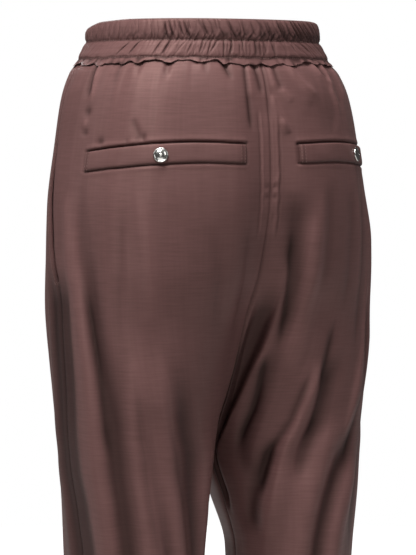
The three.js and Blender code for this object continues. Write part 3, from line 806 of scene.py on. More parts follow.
@dataclass
class Waistband:
    """One gathered ring over two elastic tunnels, with a narrow wavy lip below them."""

    columns: int = 1480
    gathers: int = 84
    jitter: float = 0.34
    shallowest: float = 0.35
    crease: float = 1.15
    fine_creases: int = 190
    fine_crease: float = 0.75
    half_girth: float = 355.0
    row_step: float = 0.85
    flat: tuple[float, float] = (1.0, 0.046)

    TOP = 20.4
    MIDDLE_STITCHES = -1.4
    LOW_STITCHES = -19.2
    LIP_FOOT = -23.4
    # How much painted shade the band's inner face gets
    INSIDE_PAINTED_SHADE = 0.6

    OUTSIDE = [
        # z, out, gather, lip
        (TOP, 0.6, 0.5, 0),
        (19.6, 2.2, 1.0, 0),
        (17.4, 3.4, 1.6, 0),
        (11.5, 4.3, 2.3, 0),
        (4.6, 4, 2.3, 0),
        (1, 3, 1.7, 0),
        (MIDDLE_STITCHES, 1.5, 0.8, 0),
        (-3.6, 2.8, 1.5, 0),
        (-7, 3.6, 2.1, 0),
        (-13.5, 3.6, 1.9, 0),
        (-17.2, 2.7, 1.2, 0),
        (LOW_STITCHES, 1.3, 0.5, 0),
        (-20.2, 1.9, 0.6, 0.2),
        (-21.6, 2.5, 0.7, 0.6),
        (LIP_FOOT, 2.7, 0.6, 1),
    ]
    INSIDE = [
        # z, out, lip
        (-24, 2.2, 1),
        (-23.6, 1.3, 1),
        (-21.5, 1, 0.6),
        (-18.4, 0.8, 0),
        (-18.4, -2.2, 0),
        (0, -2, 0),
        (18.6, -1.8, 0),
        (20.2, -0.8, 0),
    ]
    SLANTS = [
        # share, upper tunnel, lower tunnel
        (0, 0.25, 0),
        (0.035, 0.34, -0.05),
        (0.07, 0.36, -0.2),
        (0.1, 0.34, -0.35),
        (0.135, 0.22, -0.4),
        (0.165, 0.05, -0.6),
        (0.2, 0, -0.8),
        (0.3, -0.1, -0.5),
        (0.42, 0.1, 0.1),
        (0.55, -0.15, -0.1),
        (0.7, 0.4, 0.4),
        (0.86, 1.35, 0.9),
        (0.92, 1.05, 0.7),
        (0.955, 0.6, 0.35),
        (0.985, 0.32, 0.1),
        (1, 0.25, 0),
    ]
    STRENGTHS = [
        # share, the gathers' strength in the upper and the lower tunnel, the strength of the painted shade in
        # the puckers
        (0, 0.65, 0.55, 0.9),
        (0.08, 0.6, 0.5, 0.9),
        (0.125, 0.5, 0.3, 0.9),
        (0.145, 0.42, 0.2, 0.4),
        (0.17, 0.36, 0.16, 0.9),
        (0.2, 0.34, 0.16, 0.8),
        (0.215, 0.34, 0.2, 0.3),
        (0.26, 0.42, 0.28, 0.3),
        (0.32, 0.7, 0.6, 0.5),
        (0.5, 0.9, 0.7, 0.6),
        (0.75, 0.9, 0.7, 0.8),
        (0.9, 0.8, 0.6, 1),
        (0.97, 0.7, 0.6, 1),
        (1, 0.65, 0.55, 0.9),
    ]
    # The deepest gathers at the back
    STROKES = [
        # share, z, slant, depth, half width, reach
        (0.194, -10, -0.85, 1, 1, 7.5),
        (0.1735, -9, -0.6, 1.15, 1.1, 8),
        (0.136, -9, -0.4, 0.9, 0.9, 8),
        (0.1225, -9, -0.36, 1.3, 1.2, 8),
        (0.1025, -10, -0.6, 0.45, 1, 8),
        (0.088, -9, -0.3, 0.8, 1, 7),
        (0.072, -8, -0.2, 0.95, 1, 7),
        (0.061, -9, -0.17, 0.9, 0.9, 8),
        (0.055, -8, -0.5, 0.7, 0.9, 6),
        (0.0415, -10, 0, 1, 0.9, 9),
        (0.037, -12, 0, 0.6, 0.8, 7),
        (0.032, -10, -0.07, 1, 0.9, 9),
        (0.021, -11, 0, 0.6, 0.9, 8),
        (0.0125, -10, 0, 0.5, 0.9, 8),
        (0.002, -10, 0, 1.2, 1.1, 9),
        (0.9985, -11, 0, 0.9, 0.8, 8),
        (0.993, -8, 0.05, 0.7, 0.9, 6),
        (0.983, -10, 0.15, 0.6, 0.9, 8),
        (0.943, -7, 0.9, 0.7, 0.9, 6),
        (0.928, -7, 1, 0.7, 0.9, 6),
        (0.91, -8, 1, 0.6, 0.9, 7),
        (0.1265, 8, 0.25, 0.9, 0.9, 8),
        (0.1195, 11, 0.3, 0.7, 0.8, 8),
        (0.113, 14, 0.12, 0.6, 0.8, 6),
        (0.104, 10, 0.35, 0.7, 0.9, 8),
        (0.096, 9, 0.4, 1, 1, 9),
        (0.0915, 14, 0.1, 0.5, 0.8, 5),
        (0.0685, 10, 0.42, 0.9, 1, 9),
        (0.053, 14, 0.25, 0.6, 0.9, 6),
        (0.031, 9, 0.4, 1.1, 1, 10),
        (0.015, 9, 0.3, 0.6, 0.9, 8),
        (0.004, 9, 0.25, 0.7, 0.9, 8),
        (0.994, 9, 0.3, 0.6, 0.9, 9),
        (0.985, 9, 0.35, 0.7, 0.9, 9),
        (0.969, 9, 0.5, 1.3, 1.1, 10),
        (0.965, 8, 0.5, 0.8, 0.9, 9),
        (0.955, 9, 0.6, 0.7, 0.9, 9),
        (0.942, 10, 0.8, 1.3, 1.1, 11),
        (0.934, 10, 0.9, 1.1, 1, 10),
        (0.923, 9, 1.1, 1.1, 1.1, 10),
        (0.909, 9, 1.3, 1.1, 1.1, 10),
        (0.895, 9, 1.45, 1, 1.1, 10),
        (0.88, 9, 1.5, 1, 1.1, 10),
    ]
    # How far the top edge sinks towards the front
    DROOP = [
        # share, drop
        (0, 0),
        (0.19, 0.2),
        (0.22, 0.9),
        (0.249, 1.8),
        (0.277, 4.2),
        (0.292, 5.6),
        (0.33, 6.8),
        (0.42, 7),
        (0.5, 6.5),
        (0.6, 7),
        (0.7, 5.5),
        (0.8, 2.4),
        (0.86, 0.6),
        (0.9, 0),
        (1, 0),
    ]
    # The lip's lower edge, by share from the centre back to the left and on round
    LIP_EDGE = [
        (0, -24.6),
        (0.006, -26.6),
        (0.013, -24.9),
        (0.019, -26.8),
        (0.026, -24.9),
        (0.033, -24.1),
        (0.042, -26),
        (0.05, -21.4),
        (0.06, -22),
        (0.07, -24),
        (0.086, -21.3),
        (0.1, -21.4),
        (0.11, -24),
        (0.117, -24),
        (0.127, -21.4),
        (0.138, -21.3),
        (0.148, -22.1),
        (0.154, -24.8),
        (0.161, -24.2),
        (0.171, -22.2),
        (0.182, -25.8),
        (0.189, -24),
        (0.202, -24.8),
        (0.211, -24),
        (0.217, -27),
        (0.237, -24.2),
        (0.25, -26),
        (0.27, -23),
        (0.3, -26),
        (0.34, -22.8),
        (0.38, -26.2),
        (0.42, -23.4),
        (0.46, -26),
        (0.5, -23.2),
        (0.54, -26),
        (0.585, -22.8),
        (0.62, -26.4),
        (0.66, -23),
        (0.7, -26),
        (0.74, -23.2),
        (0.78, -26.6),
        (0.82, -24),
        (0.86, -25.4),
        (0.907, -23.2),
        (0.923, -24.2),
        (0.93, -22.2),
        (0.94, -22.2),
        (0.959, -26),
        (0.971, -26.8),
        (0.976, -23.9),
        (0.985, -25.4),
        (0.993, -27),
        (1, -24.6),
    ]

    def __post_init__(self) -> None:
        """Fits the curves of the band's tables."""
        self.profile = SmoothTable(("z", "out", "gather", "lip"), self.OUTSIDE)
        self.slants = SmoothTable(("share", "upper", "lower"), self.SLANTS)
        self.edge = SmoothTable(("share", "z"), self.LIP_EDGE)
        self.strength = SmoothTable(("share", "upper", "lower", "marks"), self.STRENGTHS)
        self.droop = SmoothTable(("share", "drop"), self.DROOP)

    @staticmethod
    def scatter(index: Array, row: int) -> Array:
        """An even value from 0 to 1 that differs for each whole number and row of values."""
        wide = np.sin(index * 12.9898 + row * 78.233) * 43758.5453
        return wide - np.floor(wide)

    def slant(self, share: Array, z: Array) -> Array:
        """How the gathers lean, in millimetres sideways for each millimetre up."""
        return np.where(z > 0, self.slants.at("upper", share), self.slants.at("lower", share))

    def drawn(self, share: Array, z: Array) -> Array:
        """How deep the short creases are that run out from the rows of stitches."""
        rows = np.array([0.5, -18.4, 0.5, -2.4, 19])
        total = np.zeros(np.broadcast(share, z).shape)
        slant = self.slant(share, z)
        for j in range(self.fine_creases):
            place = (j + 0.8 * self.scatter(j, 7)) / self.fine_creases
            loose = 0.4 * bell(place - 0.2, 0.05)
            if self.scatter(j, 8) < loose:
                continue
            level = rows[int(self.scatter(j, 9) * len(rows))]
            reach = 3.5 + 6.5 * self.scatter(j, 10)
            apart = (share - place + 0.5) % 1 - 0.5
            lean = slant + 0.9 * (self.scatter(j, 11) - 0.5)
            across = apart * 2 * self.half_girth - lean * (z - level)
            deep = 0.4 + 0.6 * self.scatter(j, 12)
            total += deep * bell(across, self.fine_crease, 1.5) * bell(z - level, reach, 2.5)
        return total

    def strokes(self, share: Array, z: Array) -> Array:
        """How deep the deepest gathers are at each place."""
        total = np.zeros(np.broadcast(share, z).shape)
        for place, level, slant, deep, width, reach in self.STROKES:
            apart = (share - place + 0.5) % 1 - 0.5
            bend = 0.03 * slant * (z - level) ** 2 * np.sign(level)
            across = apart * 2 * self.half_girth - slant * (z - level) + bend
            tunnel = smoothstep((z - self.MIDDLE_STITCHES) * np.sign(level), -0.5, 1.5)
            total += deep * tunnel * bell(across, width, 1.5) * bell(z - level, reach, 5)
        return total

    def marks(self, share: Array, z: Array) -> Array:
        """Painted shade in small puckers just above the middle stitches, from 0 to 1."""
        across = share * 2 * self.half_girth
        blot = Noise(131, 512).at(across / 2.3 + 0.3 * z, z / 4.2) + 0.35
        return self.strength.at("marks", share) * bell(z - 3.4, 4.6, 3) * np.clip(blot, 0, 1)

    def creases(self, share: Array, z: Array) -> Array:
        """How deep the gathers' long creases are at each place, from 0 to about 1."""
        upper = z > 0
        slant = self.slant(share, z)
        columns = 2 * self.gathers
        total = np.zeros(np.broadcast(share, z).shape)
        for j in range(1, columns, 2):
            place = (j + (self.scatter(j, 1) - 0.5) * self.jitter) / columns
            deep = self.shallowest + (1 - self.shallowest) * np.where(
                upper, self.scatter(j, 2), self.scatter(j, 3)
            )
            own = np.where(upper, self.scatter(j, 4), self.scatter(j, 5)) - 0.5
            apart = (share - place + 0.5) % 1 - 0.5
            across = apart * 2 * self.half_girth - (slant + 0.35 * own) * z
            across += 0.5 * np.sin(z * 0.42 + j)
            total += deep * bell(across, self.crease * (0.7 + 0.7 * self.scatter(j, 6)), 1.4)
        return np.minimum(total, 1.15)

    def puckers(self, share: Array, z: Array) -> Array:
        """Short fine puckers that the two rows of stitches draw up, as a relief."""
        across = share * 2 * self.half_girth
        fine = Noise(71, 512).at(across / 1.9 + 0.25 * z, z / 16)
        fine -= 0.6 * np.abs(Noise(73, 512).at(across / 3.1 - 0.3 * z, z / 22))
        near_middle = bell(np.where(z > 0, z / 8, z / 4.2), 1) + 0.5 * bell(z + 19, 3)
        strength = 0.55 + 0.45 * Noise(79).at(share * 14, z * 0)
        broad = 0.25 * Noise(83, 512).at(across / 6, z / 14)
        return 0.75 * near_middle * strength * fine + broad

    def surface(self, share: Array, z: Array, out: float = 0) -> Array:
        """Points of the band's outer face.

        Args:
            share: the way round, 0 at the centre back, then over the left side.
            z: heights before the lip's waves.
            out: how far outside the face, in millimetres.

        Returns:
            The points, with their three coordinates last.
        """
        share, z = np.broadcast_arrays(np.asarray(share, float) % 1, np.asarray(z, float))
        lip = self.profile.at("lip", z)
        lift = self.profile.at("out", z) - self.gathered(share, z) + self.puckers(share, z) + out
        # The lip lies flatter at the two sides
        flatter = bell(share - 0.29, 0.05, 4) + bell(share - 0.855, 0.035, 4)
        lift += lip * (self.ruffle(share) - 1.3 * flatter)
        return self.point(share, self.waved(share, z, lip), lift)

    def gathered(self, share: Array, z: Array) -> Array:
        """How far all the gathers' creases draw the cloth in."""
        depth = self.profile.at("gather", z)
        strength = np.where(z > 0, self.strength.at("upper", share), self.strength.at("lower", share))
        loose = strength * self.creases(share, z) + 0.55 * self.drawn(share, z) * (0.3 + strength)
        return depth * np.minimum(loose + 0.85 * self.strokes(share, z), 1.2)

    @staticmethod
    def ruffle(share: Array) -> Array:
        """How the lip's edge stands out and in."""
        broad = Noise(101, 256).at(share * 120, share * 0)
        return 0.9 * broad + 0.5 * Noise(103, 256).at(share * 230, share * 0)

    def waved(self, share: Array, z: Array, lip: Array) -> Array:
        """Heights with the lip's edge brought to its own line."""
        ripple = 0.35 * np.sin(2 * math.pi * 61 * share)
        sunk = self.droop.at("drop", share) * smoothstep(z, 2, self.TOP)
        wobble = 0.7 * Noise(107, 256).at(share * 110, share * 0) * bell(z - self.LOW_STITCHES, 2.5)
        return z - sunk + wobble + lip * (self.edge.at("z", share) + ripple - self.LIP_FOOT)

    @staticmethod
    def point(share: Array, z: Array, out: Array) -> Array:
        """Points level with z, out from the body's section."""
        on_left = share <= 0.5
        t = np.where(on_left, 2 * share, 2 - 2 * share)
        normal, _ = FORM.frame_at(t, z)
        normal[..., 2] = 0
        normal /= np.linalg.norm(normal, axis=-1, keepdims=True)
        points = FORM.section(t, z) + normal * np.asarray(out)[..., None]
        points[..., 0] *= np.where(on_left, 1, -1)
        return points

    def recess(self, share: Array, z: Array) -> Array:
        """Painted shade on the outer face, from 0 on open cloth to 1 down a crease, along the stitches, on
        the lip and along the top edge.

        Args:
            share: the way round.
            z: heights, in the same shape.

        Returns:
            The values, in that shape.
        """
        # Painted shade along the two rows of stitches, in blotches over the lip, along the top edge, in the
        # upper tunnel beside the centre back on the right, down the gathers and in the puckers
        stitched = 0.6 * bell(z - self.MIDDLE_STITCHES, 0.9) + bell(z - self.LOW_STITCHES, 1.1)
        crushed = Noise(137, 512).at(share * 2 * self.half_girth / 3.4, z / 3)
        stitched += 1.1 * smoothstep(-z, 18.6, 19.6) * np.clip(crushed + 0.2, 0, 1)
        edge_shade = 0.6 * smoothstep(z, 18.6, 20.2)
        away = np.minimum(share, 1 - share)
        shaded = 0.42 * bell(away - 0.06, 0.06, 4) * (share > 0.5) * bell(z - 4, 6)
        deep = self.gathered(share, z) / 1.9 - 0.12
        return np.clip(deep + stitched + edge_shade + shaded + 0.8 * self.marks(share, z), 0, 1)

    def build(self, satin: bpy.types.Material) -> bpy.types.Object:
        """Makes the band.

        Args:
            satin: the cloth's finish.

        Returns:
            The piece.
        """
        share = np.arange(self.columns) / self.columns
        rows_down = np.arange(16.2, -23, -self.row_step)
        heights = np.concatenate([np.linspace(self.TOP, 17, 5), rows_down, [self.LIP_FOOT]])
        outer = self.surface(share[None, :], heights[:, None])
        rows = [outer]
        z_rows = [heights]
        for z, out, lip in self.INSIDE:
            lifted = self.waved(share, np.full_like(share, z), np.full_like(share, lip))
            rows.append(self.point(share, lifted, np.full_like(share, out))[None])
            z_rows.append(np.array([z]))
        grid = np.concatenate(rows + [outer[:1]])
        z = np.concatenate(z_rows + [heights[:1]])
        count = len(grid) - 1
        quads = grid_quads(count + 1, self.columns, ring=True) % (count * self.columns)
        along = share * 2 * self.half_girth * MM
        uvs = np.stack(np.broadcast_arrays(along[None, :], z[:count, None] * MM), axis=-1)
        # The inner rows get an even painted shade, the outer rows the band's own
        recess = np.full(grid[:count].shape[:2], self.INSIDE_PAINTED_SHADE)
        recess[: len(heights)] = self.recess(*np.broadcast_arrays(share[None, :], heights[:, None]))
        piece = mesh_object(
            "waistband_cloth", grid[:count].reshape(-1, 3), quads, uvs.reshape(-1, 2), recess, 75
        )
        dress(piece, satin, "cloth", "waistband")
        return piece


@dataclass
class PocketWelt:
    """One back pocket's welt: a folded strip, sewn on along its foot and at its two ends."""

    side: Side
    columns: int = 96
    length: float = 167.0
    end_row: float = 0.022
    seat: float = 0.5
    flat: tuple[float, float] = (0.172, 0.023)

    # Part of the welt's height from its foot, and the outer face's distance from the seat
    SECTION = [
        (0.5, 0.35),
        (0.49, 0.95),
        (0.455, 1.5),
        (0.4, 1.75),
        (0.3, 1.8),
        (0.15, 1.8),
        (0, 1.75),
        (-0.15, 1.7),
        (-0.3, 1.55),
        (-0.4, 1.3),
        (-0.46, 0.95),
        (-0.49, 0.55),
        (-0.5, 0.25),
    ]

    def build(self, satin: bpy.types.Material) -> bpy.types.Object:
        """Makes the welt.

        Args:
            satin: the cloth's finish.

        Returns:
            The piece.
        """
        name = f"welt_{self.side.name.lower()}"
        welt = FORM.welt
        across = np.linspace(0, 1, self.columns)
        t = welt.share_from + (welt.share_to - welt.share_from) * across
        part, height = np.array(self.SECTION).T
        ends = np.minimum(smoothstep(across, 0, 0.012), smoothstep(1 - across, 0, 0.012))
        from_end = np.minimum(across, 1 - across)
        stitched = 0.45 * bell((from_end - self.end_row) * self.length, 0.9)
        z = welt.edge(t[None, :], part[:, None])
        t = np.broadcast_to(t[None, :], z.shape)
        sag = 0.25 * Noise(91 + self.side.value).at(t * 40, part[:, None] * 2 + 0 * t)
        lift = self.seat + height[:, None] * (0.35 + 0.65 * ends) - stitched + sag * ends
        smooth = self.plain_cloth(t, z)
        outer = smooth(lift)
        inner = smooth(np.full_like(lift, self.seat * 0.4))
        # Painted shade at the welt's ends, along its stitched rows and at its foot
        recess = np.clip(0.5 * (1 - ends) + stitched + 0.5 * bell(part[:, None] + 0.5, 0.05), 0, 1)
        piece = wall_object(name + "_cloth", self.side, outer, inner, cloth_uv(t, z), recess)
        dress(piece, satin, "cloth", name)
        f"back_{self.side.name.lower()}"
        return piece

    def plain_cloth(self, t: Array, z: Array) -> Callable[[Array], Array]:
        """The cloth under the welt without the marks that the welt itself leaves.

        Args:
            t: shares round.
            z: heights.

        Returns:
            A function from distances out to points.
        """
        normal, stretch = FORM.frame_at(t, z)
        relief = FORM.relief(self.side, t, z, stretch)[0] - FORM.welt.mark(t, z)
        base = FORM.section(t, z)

        def lifted(out: Array) -> Array:
            points = base + normal * (relief + out)[..., None]
            points[..., 0] = (points[..., 0] + SEAM_GAP / 2) * self.side.value
            return points

        return lifted


@dataclass
class SidePocket:
    """The facing behind one side pocket's mouth."""

    side: Side
    top: float = -94.0
    bottom: float = -258.0
    before: float = 10.0
    behind: float = 34.0
    seat: float = 0.9
    thick: float = 1.2
    rows: int = 60
    columns: int = 18
    flat: tuple[float, float] = (0.044, 0.164)

    def build(self, satin: bpy.types.Material) -> bpy.types.Object:
        """Makes the facing.

        Args:
            satin: the cloth's finish.

        Returns:
            The piece.
        """
        name = f"pocket_{self.side.name.lower()}"
        z = np.linspace(self.top, self.bottom, self.rows)
        share = FORM.sides.at("share", z)
        stretch = FORM.frame_at(share, z)[1]
        along = np.linspace(-self.before, self.behind, self.columns)
        t = share[:, None] + along[None, :] / stretch[:, None]
        z = np.broadcast_to(z[:, None], t.shape)
        out = -WALL - self.seat
        outer = FORM.cloth(self.side, t, z, out)
        inner = FORM.cloth(self.side, t, z, out - self.thick)
        # The facing is painted in full shade
        piece = wall_object(name + "_cloth", self.side, outer, inner, cloth_uv(t, z), np.ones_like(t))
        dress(piece, satin, "cloth", name)
        return piece


@dataclass
class PressStud:
    """One press stud's polished cap: a flat dome inside a rolled rim."""

    side: Side
    share: float
    height: float = -117.8
    seat: float = 2.0
    sides: int = 64

    SECTION = [
        # radius, height
        (0, 0),
        (6.4, 0),
        (7.1, 0.2),
        (7.5, 0.7),
        (7.55, 1.2),
        (7.35, 1.75),
        (6.95, 2.1),
        (6.5, 2.2),
        (6.1, 2.05),
        (5.85, 1.8),
        (5.6, 1.75),
        (5.2, 1.95),
        (4.4, 2.3),
        (3.2, 2.65),
        (1.8, 2.9),
        (0.8, 2.98),
        (0, 3),
    ]

    def build(self, nickel: bpy.types.Material) -> bpy.types.Object:
        """Turns the cap's section into a closed round.

        Args:
            nickel: the cap's finish.

        Returns:
            The piece.
        """
        name = f"snap_{self.side.name.lower()}"
        at = np.array([self.share]), np.array([self.height])
        normal, stretch = FORM.frame_at(*at)
        relief = FORM.relief(self.side, *at, stretch)[0] - FORM.welt.mark(*at)
        middle = FORM.section(*at)[0] + normal[0] * (relief[0] + self.seat)
        middle[0] = (middle[0] + SEAM_GAP / 2) * self.side.value
        up = normal[0] * [self.side.value, 1, 1]
        turn = Vector((0, 0, 1)).rotation_difference(Vector(up))
        radius, height = np.array(self.SECTION[1:-1]).T
        angle = np.linspace(0, 2 * math.pi, self.sides, endpoint=False)
        ring = np.stack(
            [
                radius[:, None] * np.cos(angle),
                radius[:, None] * np.sin(angle),
                np.broadcast_to(height[:, None], (len(radius), self.sides)),
            ],
            axis=-1,
        ).reshape(-1, 3)
        poles = np.array([[0, 0, self.SECTION[0][1]], [0, 0, self.SECTION[-1][1]]])
        local = np.concatenate([ring, poles])
        points = local @ np.array(turn.to_matrix()).T + middle
        quads = grid_quads(len(radius), self.sides, ring=True)[:, ::-1]
        first = np.arange(self.sides)
        after = (first + 1) % self.sides
        last = (len(radius) - 1) * self.sides
        foot, crown = len(ring), len(ring) + 1
        caps = [(foot, b, a) for a, b in zip(first.tolist(), after.tolist())]
        caps += [(crown, last + a, last + b) for a, b in zip(first.tolist(), after.tolist())]
        mesh = bpy.data.meshes.new(name + "_cap")
        mesh.from_pydata((points * MM).tolist(), [], quads.tolist() + caps)
        mesh.polygons.foreach_set("use_smooth", np.ones(len(mesh.polygons), bool))
        mesh.update()
        piece = link_mesh(name + "_cap", mesh)
        dress(piece, nickel, "polished_metal", name)
        return piece


class StitchTree:
    """Geometry nodes that lay one stitch after another along every line of a mesh."""

    SIZES = {"Pitch": 2.9 * MM, "Length": 2.2 * MM, "Radius": 0.28 * MM}

    def __init__(self, thread: bpy.types.Material) -> None:
        """Builds the tree.

        Args:
            thread: the stitches' finish.
        """
        self.tree = bpy.data.node_groups.new("stitches along lines", "GeometryNodeTree")
        face = self.tree.interface
        face.new_socket("Lines", in_out="INPUT", socket_type="NodeSocketGeometry")
        self.inputs = {
            name: face.new_socket(name, in_out="INPUT", socket_type="NodeSocketFloat").identifier
            for name in self.SIZES
        }
        face.new_socket("Stitches", in_out="OUTPUT", socket_type="NodeSocketGeometry")
        given = self.node("NodeGroupInput")
        curve = self.node("GeometryNodeMeshToCurve", Mesh=given.outputs["Lines"])
        spots = self.node(
            "GeometryNodeCurveToPoints",
            {"mode": "LENGTH"},
            Curve=curve.outputs[0],
            Length=given.outputs["Pitch"],
        )
        ball = self.node("GeometryNodeMeshUVSphere", Segments=6, Rings=5, Radius=given.outputs["Radius"])
        half = self.node(
            "ShaderNodeMath", {"operation": "DIVIDE"}, (given.outputs["Length"], given.outputs["Radius"])
        )
        ratio = self.node("ShaderNodeMath", {"operation": "MULTIPLY"}, (half.outputs[0], 0.5))
        scale = self.node("ShaderNodeCombineXYZ", X=1.0, Y=1.0, Z=ratio.outputs[0])
        stitch = self.node("GeometryNodeTransform", Geometry=ball.outputs["Mesh"], Scale=scale.outputs[0])
        row = self.node(
            "GeometryNodeInstanceOnPoints",
            Points=spots.outputs["Points"],
            Instance=stitch.outputs[0],
            Rotation=spots.outputs["Rotation"],
        )
        real = self.node("GeometryNodeRealizeInstances", Geometry=row.outputs[0])
        smooth = self.node("GeometryNodeSetShadeSmooth", Geometry=real.outputs[0])
        finish = self.node("GeometryNodeSetMaterial", Geometry=smooth.outputs[0], Material=thread)
        self.node("NodeGroupOutput", Stitches=finish.outputs[0])

    def node(
        self, kind: str, settings: dict | None = None, numbered: Sequence[object] = (), **named: object
    ) -> bpy.types.Node:
        """Adds a node with its settings and links."""
        return add_node(self.tree, kind, settings, numbered, named)

    def run(self, name: str, lines: Sequence[Array]) -> bpy.types.Object:
        """Lays the stitches along lines of points in millimetres.

        Args:
            name: the piece's name.
            lines: each line's points, one a row.

        Returns:
            The piece, as a plain mesh.
        """
        points, edges = [], []
        for line in lines:
            first = len(points)
            points += (np.asarray(line) * MM).tolist()
            edges += [(first + i, first + i + 1) for i in range(len(line) - 1)]
        source = bpy.data.meshes.new(name + "_lines")
        source.from_pydata(points, edges, [])
        holder = link_mesh(name + "_lines", source)
        modifier = holder.modifiers.new("stitches", "NODES")
        modifier.node_group = self.tree
        for key, value in self.SIZES.items():
            modifier[self.inputs[key]] = value
        graph = bpy.context.evaluated_depsgraph_get()
        mesh = bpy.data.meshes.new_from_object(holder.evaluated_get(graph))
        mesh.name = name
        bpy.data.objects.remove(holder)
        return link_mesh(name, mesh)


def add_node(
    tree: bpy.types.NodeTree,
    kind: str,
    settings: dict | None = None,
    numbered: Sequence[object] = (),
    named: dict | None = None,
) -> bpy.types.Node:
    """Adds a node to a tree with its settings and links.

    Args:
        tree: the shader or geometry tree.
        kind: the node's type.
        settings: its properties.
        numbered: a value or a socket for each of its first inputs, in order.
        named: a value or a socket for each named input.

    Returns:
        The node.
    """
    node = tree.nodes.new(kind)
    for key, value in (settings or {}).items():
        setattr(node, key, value)
    given = list(enumerate(numbered)) + list((named or {}).items())
    for key, value in given:
        socket = node.inputs[key]
        if isinstance(value, bpy.types.NodeSocket):
            tree.links.new(value, socket)
        else:
            socket.default_value = value
    return node


@dataclass
class Stitching:
    """All the rows of stitches that show, laid just proud of the cloth."""

    band: Waistband
    thread: bpy.types.Material
    proud: float = 0.25
    welt_proud: float = 2.2

    # How far the rows at a welt's ends lie from its ends, as shares round
    WELT_ROWS = (0.003, 0.0105)
    # Heights of the row beside a side pocket's mouth and of the bar tacks that close it
    MOUTH_ROW = (-104, -244)
    BAR_TACKS = (-103.0, -247.0)

    def band_row(self, height: float) -> list[Array]:
        """A row right round the waistband."""
        share = np.linspace(0, 1, 720)
        return [self.band.surface(share, np.full_like(share, height), self.proud)]

    def hem_row(self, side: Side) -> list[Array]:
        """The row that holds the turned up hem."""
        t = np.linspace(0.004, 0.996, 240)
        return [FORM.cloth(side, t, np.full_like(t, HEM_TOP + 2), self.proud)]

    def welt_ends(self, side: Side) -> list[Array]:
        """The double rows at each end of a welt."""
        welt = FORM.welt
        lines = []
        part = np.linspace(0.44, -0.47, 14)
        shares = [welt.share_from + inwards for inwards in self.WELT_ROWS]
        shares += [welt.share_to - inwards for inwards in self.WELT_ROWS]
        for share in shares:
            t = np.full_like(part, share)
            lines.append(FORM.cloth(side, t, welt.edge(t, part), self.welt_proud))
        return lines

    def mouth_row(self, side: Side) -> list[Array]:
        """The row along the front edge of a side pocket's mouth, with its bar tacks."""
        z = np.linspace(*self.MOUTH_ROW, 90)
        share = FORM.sides.at("share", z)
        stretch = FORM.frame_at(share, z)[1]
        front = share + (FORM.sides.at("mouth", z) + 5.5) / stretch
        lines = [FORM.cloth(side, front, z, self.proud)]
        for height in self.BAR_TACKS:
            for step in range(3):
                level = np.full(6, height - 1.3 * step)
                middle = FORM.sides.at("share", level)
                along = np.linspace(-4, 6, 6) / FORM.frame_at(middle, level)[1]
                lines.append(FORM.cloth(side, middle + along, level, self.proud + 0.3))
        return lines

    def build(self) -> None:
        """Makes every row, one piece for the waistband and one for each side."""
        tree = StitchTree(self.thread)
        heights = (self.band.MIDDLE_STITCHES, self.band.LOW_STITCHES)
        rows = {"stitches_waistband": [line for height in heights for line in self.band_row(height)]}
        for side in Side:
            name = side.name.lower()
            rows[f"stitches_{name}"] = self.hem_row(side) + self.welt_ends(side) + self.mouth_row(side)
        for name, lines in rows.items():
            dress(tree.run(name, lines), self.thread, "cloth")


def linear(hex_colour: str) -> tuple[float, float, float, float]:
    """A linear colour from an sRGB hex value such as #7a5b56."""
    channels = [int(hex_colour[i : i + 2], 16) / 255 for i in (1, 3, 5)]
    return (*(c / 12.92 if c <= 0.04045 else ((c + 0.055) / 1.055) ** 2.4 for c in channels), 1.0)


class Finish:
    """A material in the making: its tree, its shader and a short way to add nodes."""

    def __init__(self, name: str) -> None:
        """Starts the material with an empty Principled shader.

        Args:
            name: the real material's name.
        """
        self.material = bpy.data.materials.new(name)
        self.material.use_nodes = True
        self.tree = self.material.node_tree
        self.shader = self.tree.nodes["Principled BSDF"]

    def node(
        self, kind: str, settings: dict | None = None, numbered: Sequence[object] = (), **named: object
    ) -> bpy.types.Node:
        """Adds a node with its settings and links."""
        return add_node(self.tree, kind, settings, numbered, named)

    def set(self, **values: object) -> None:
        """Sets or links the shader's sockets, each named with _ for its spaces."""
        for key, value in values.items():
            socket = self.shader.inputs[key.replace("_", " ")]
            if isinstance(value, bpy.types.NodeSocket):
                self.tree.links.new(value, socket)
            else:
                socket.default_value = value


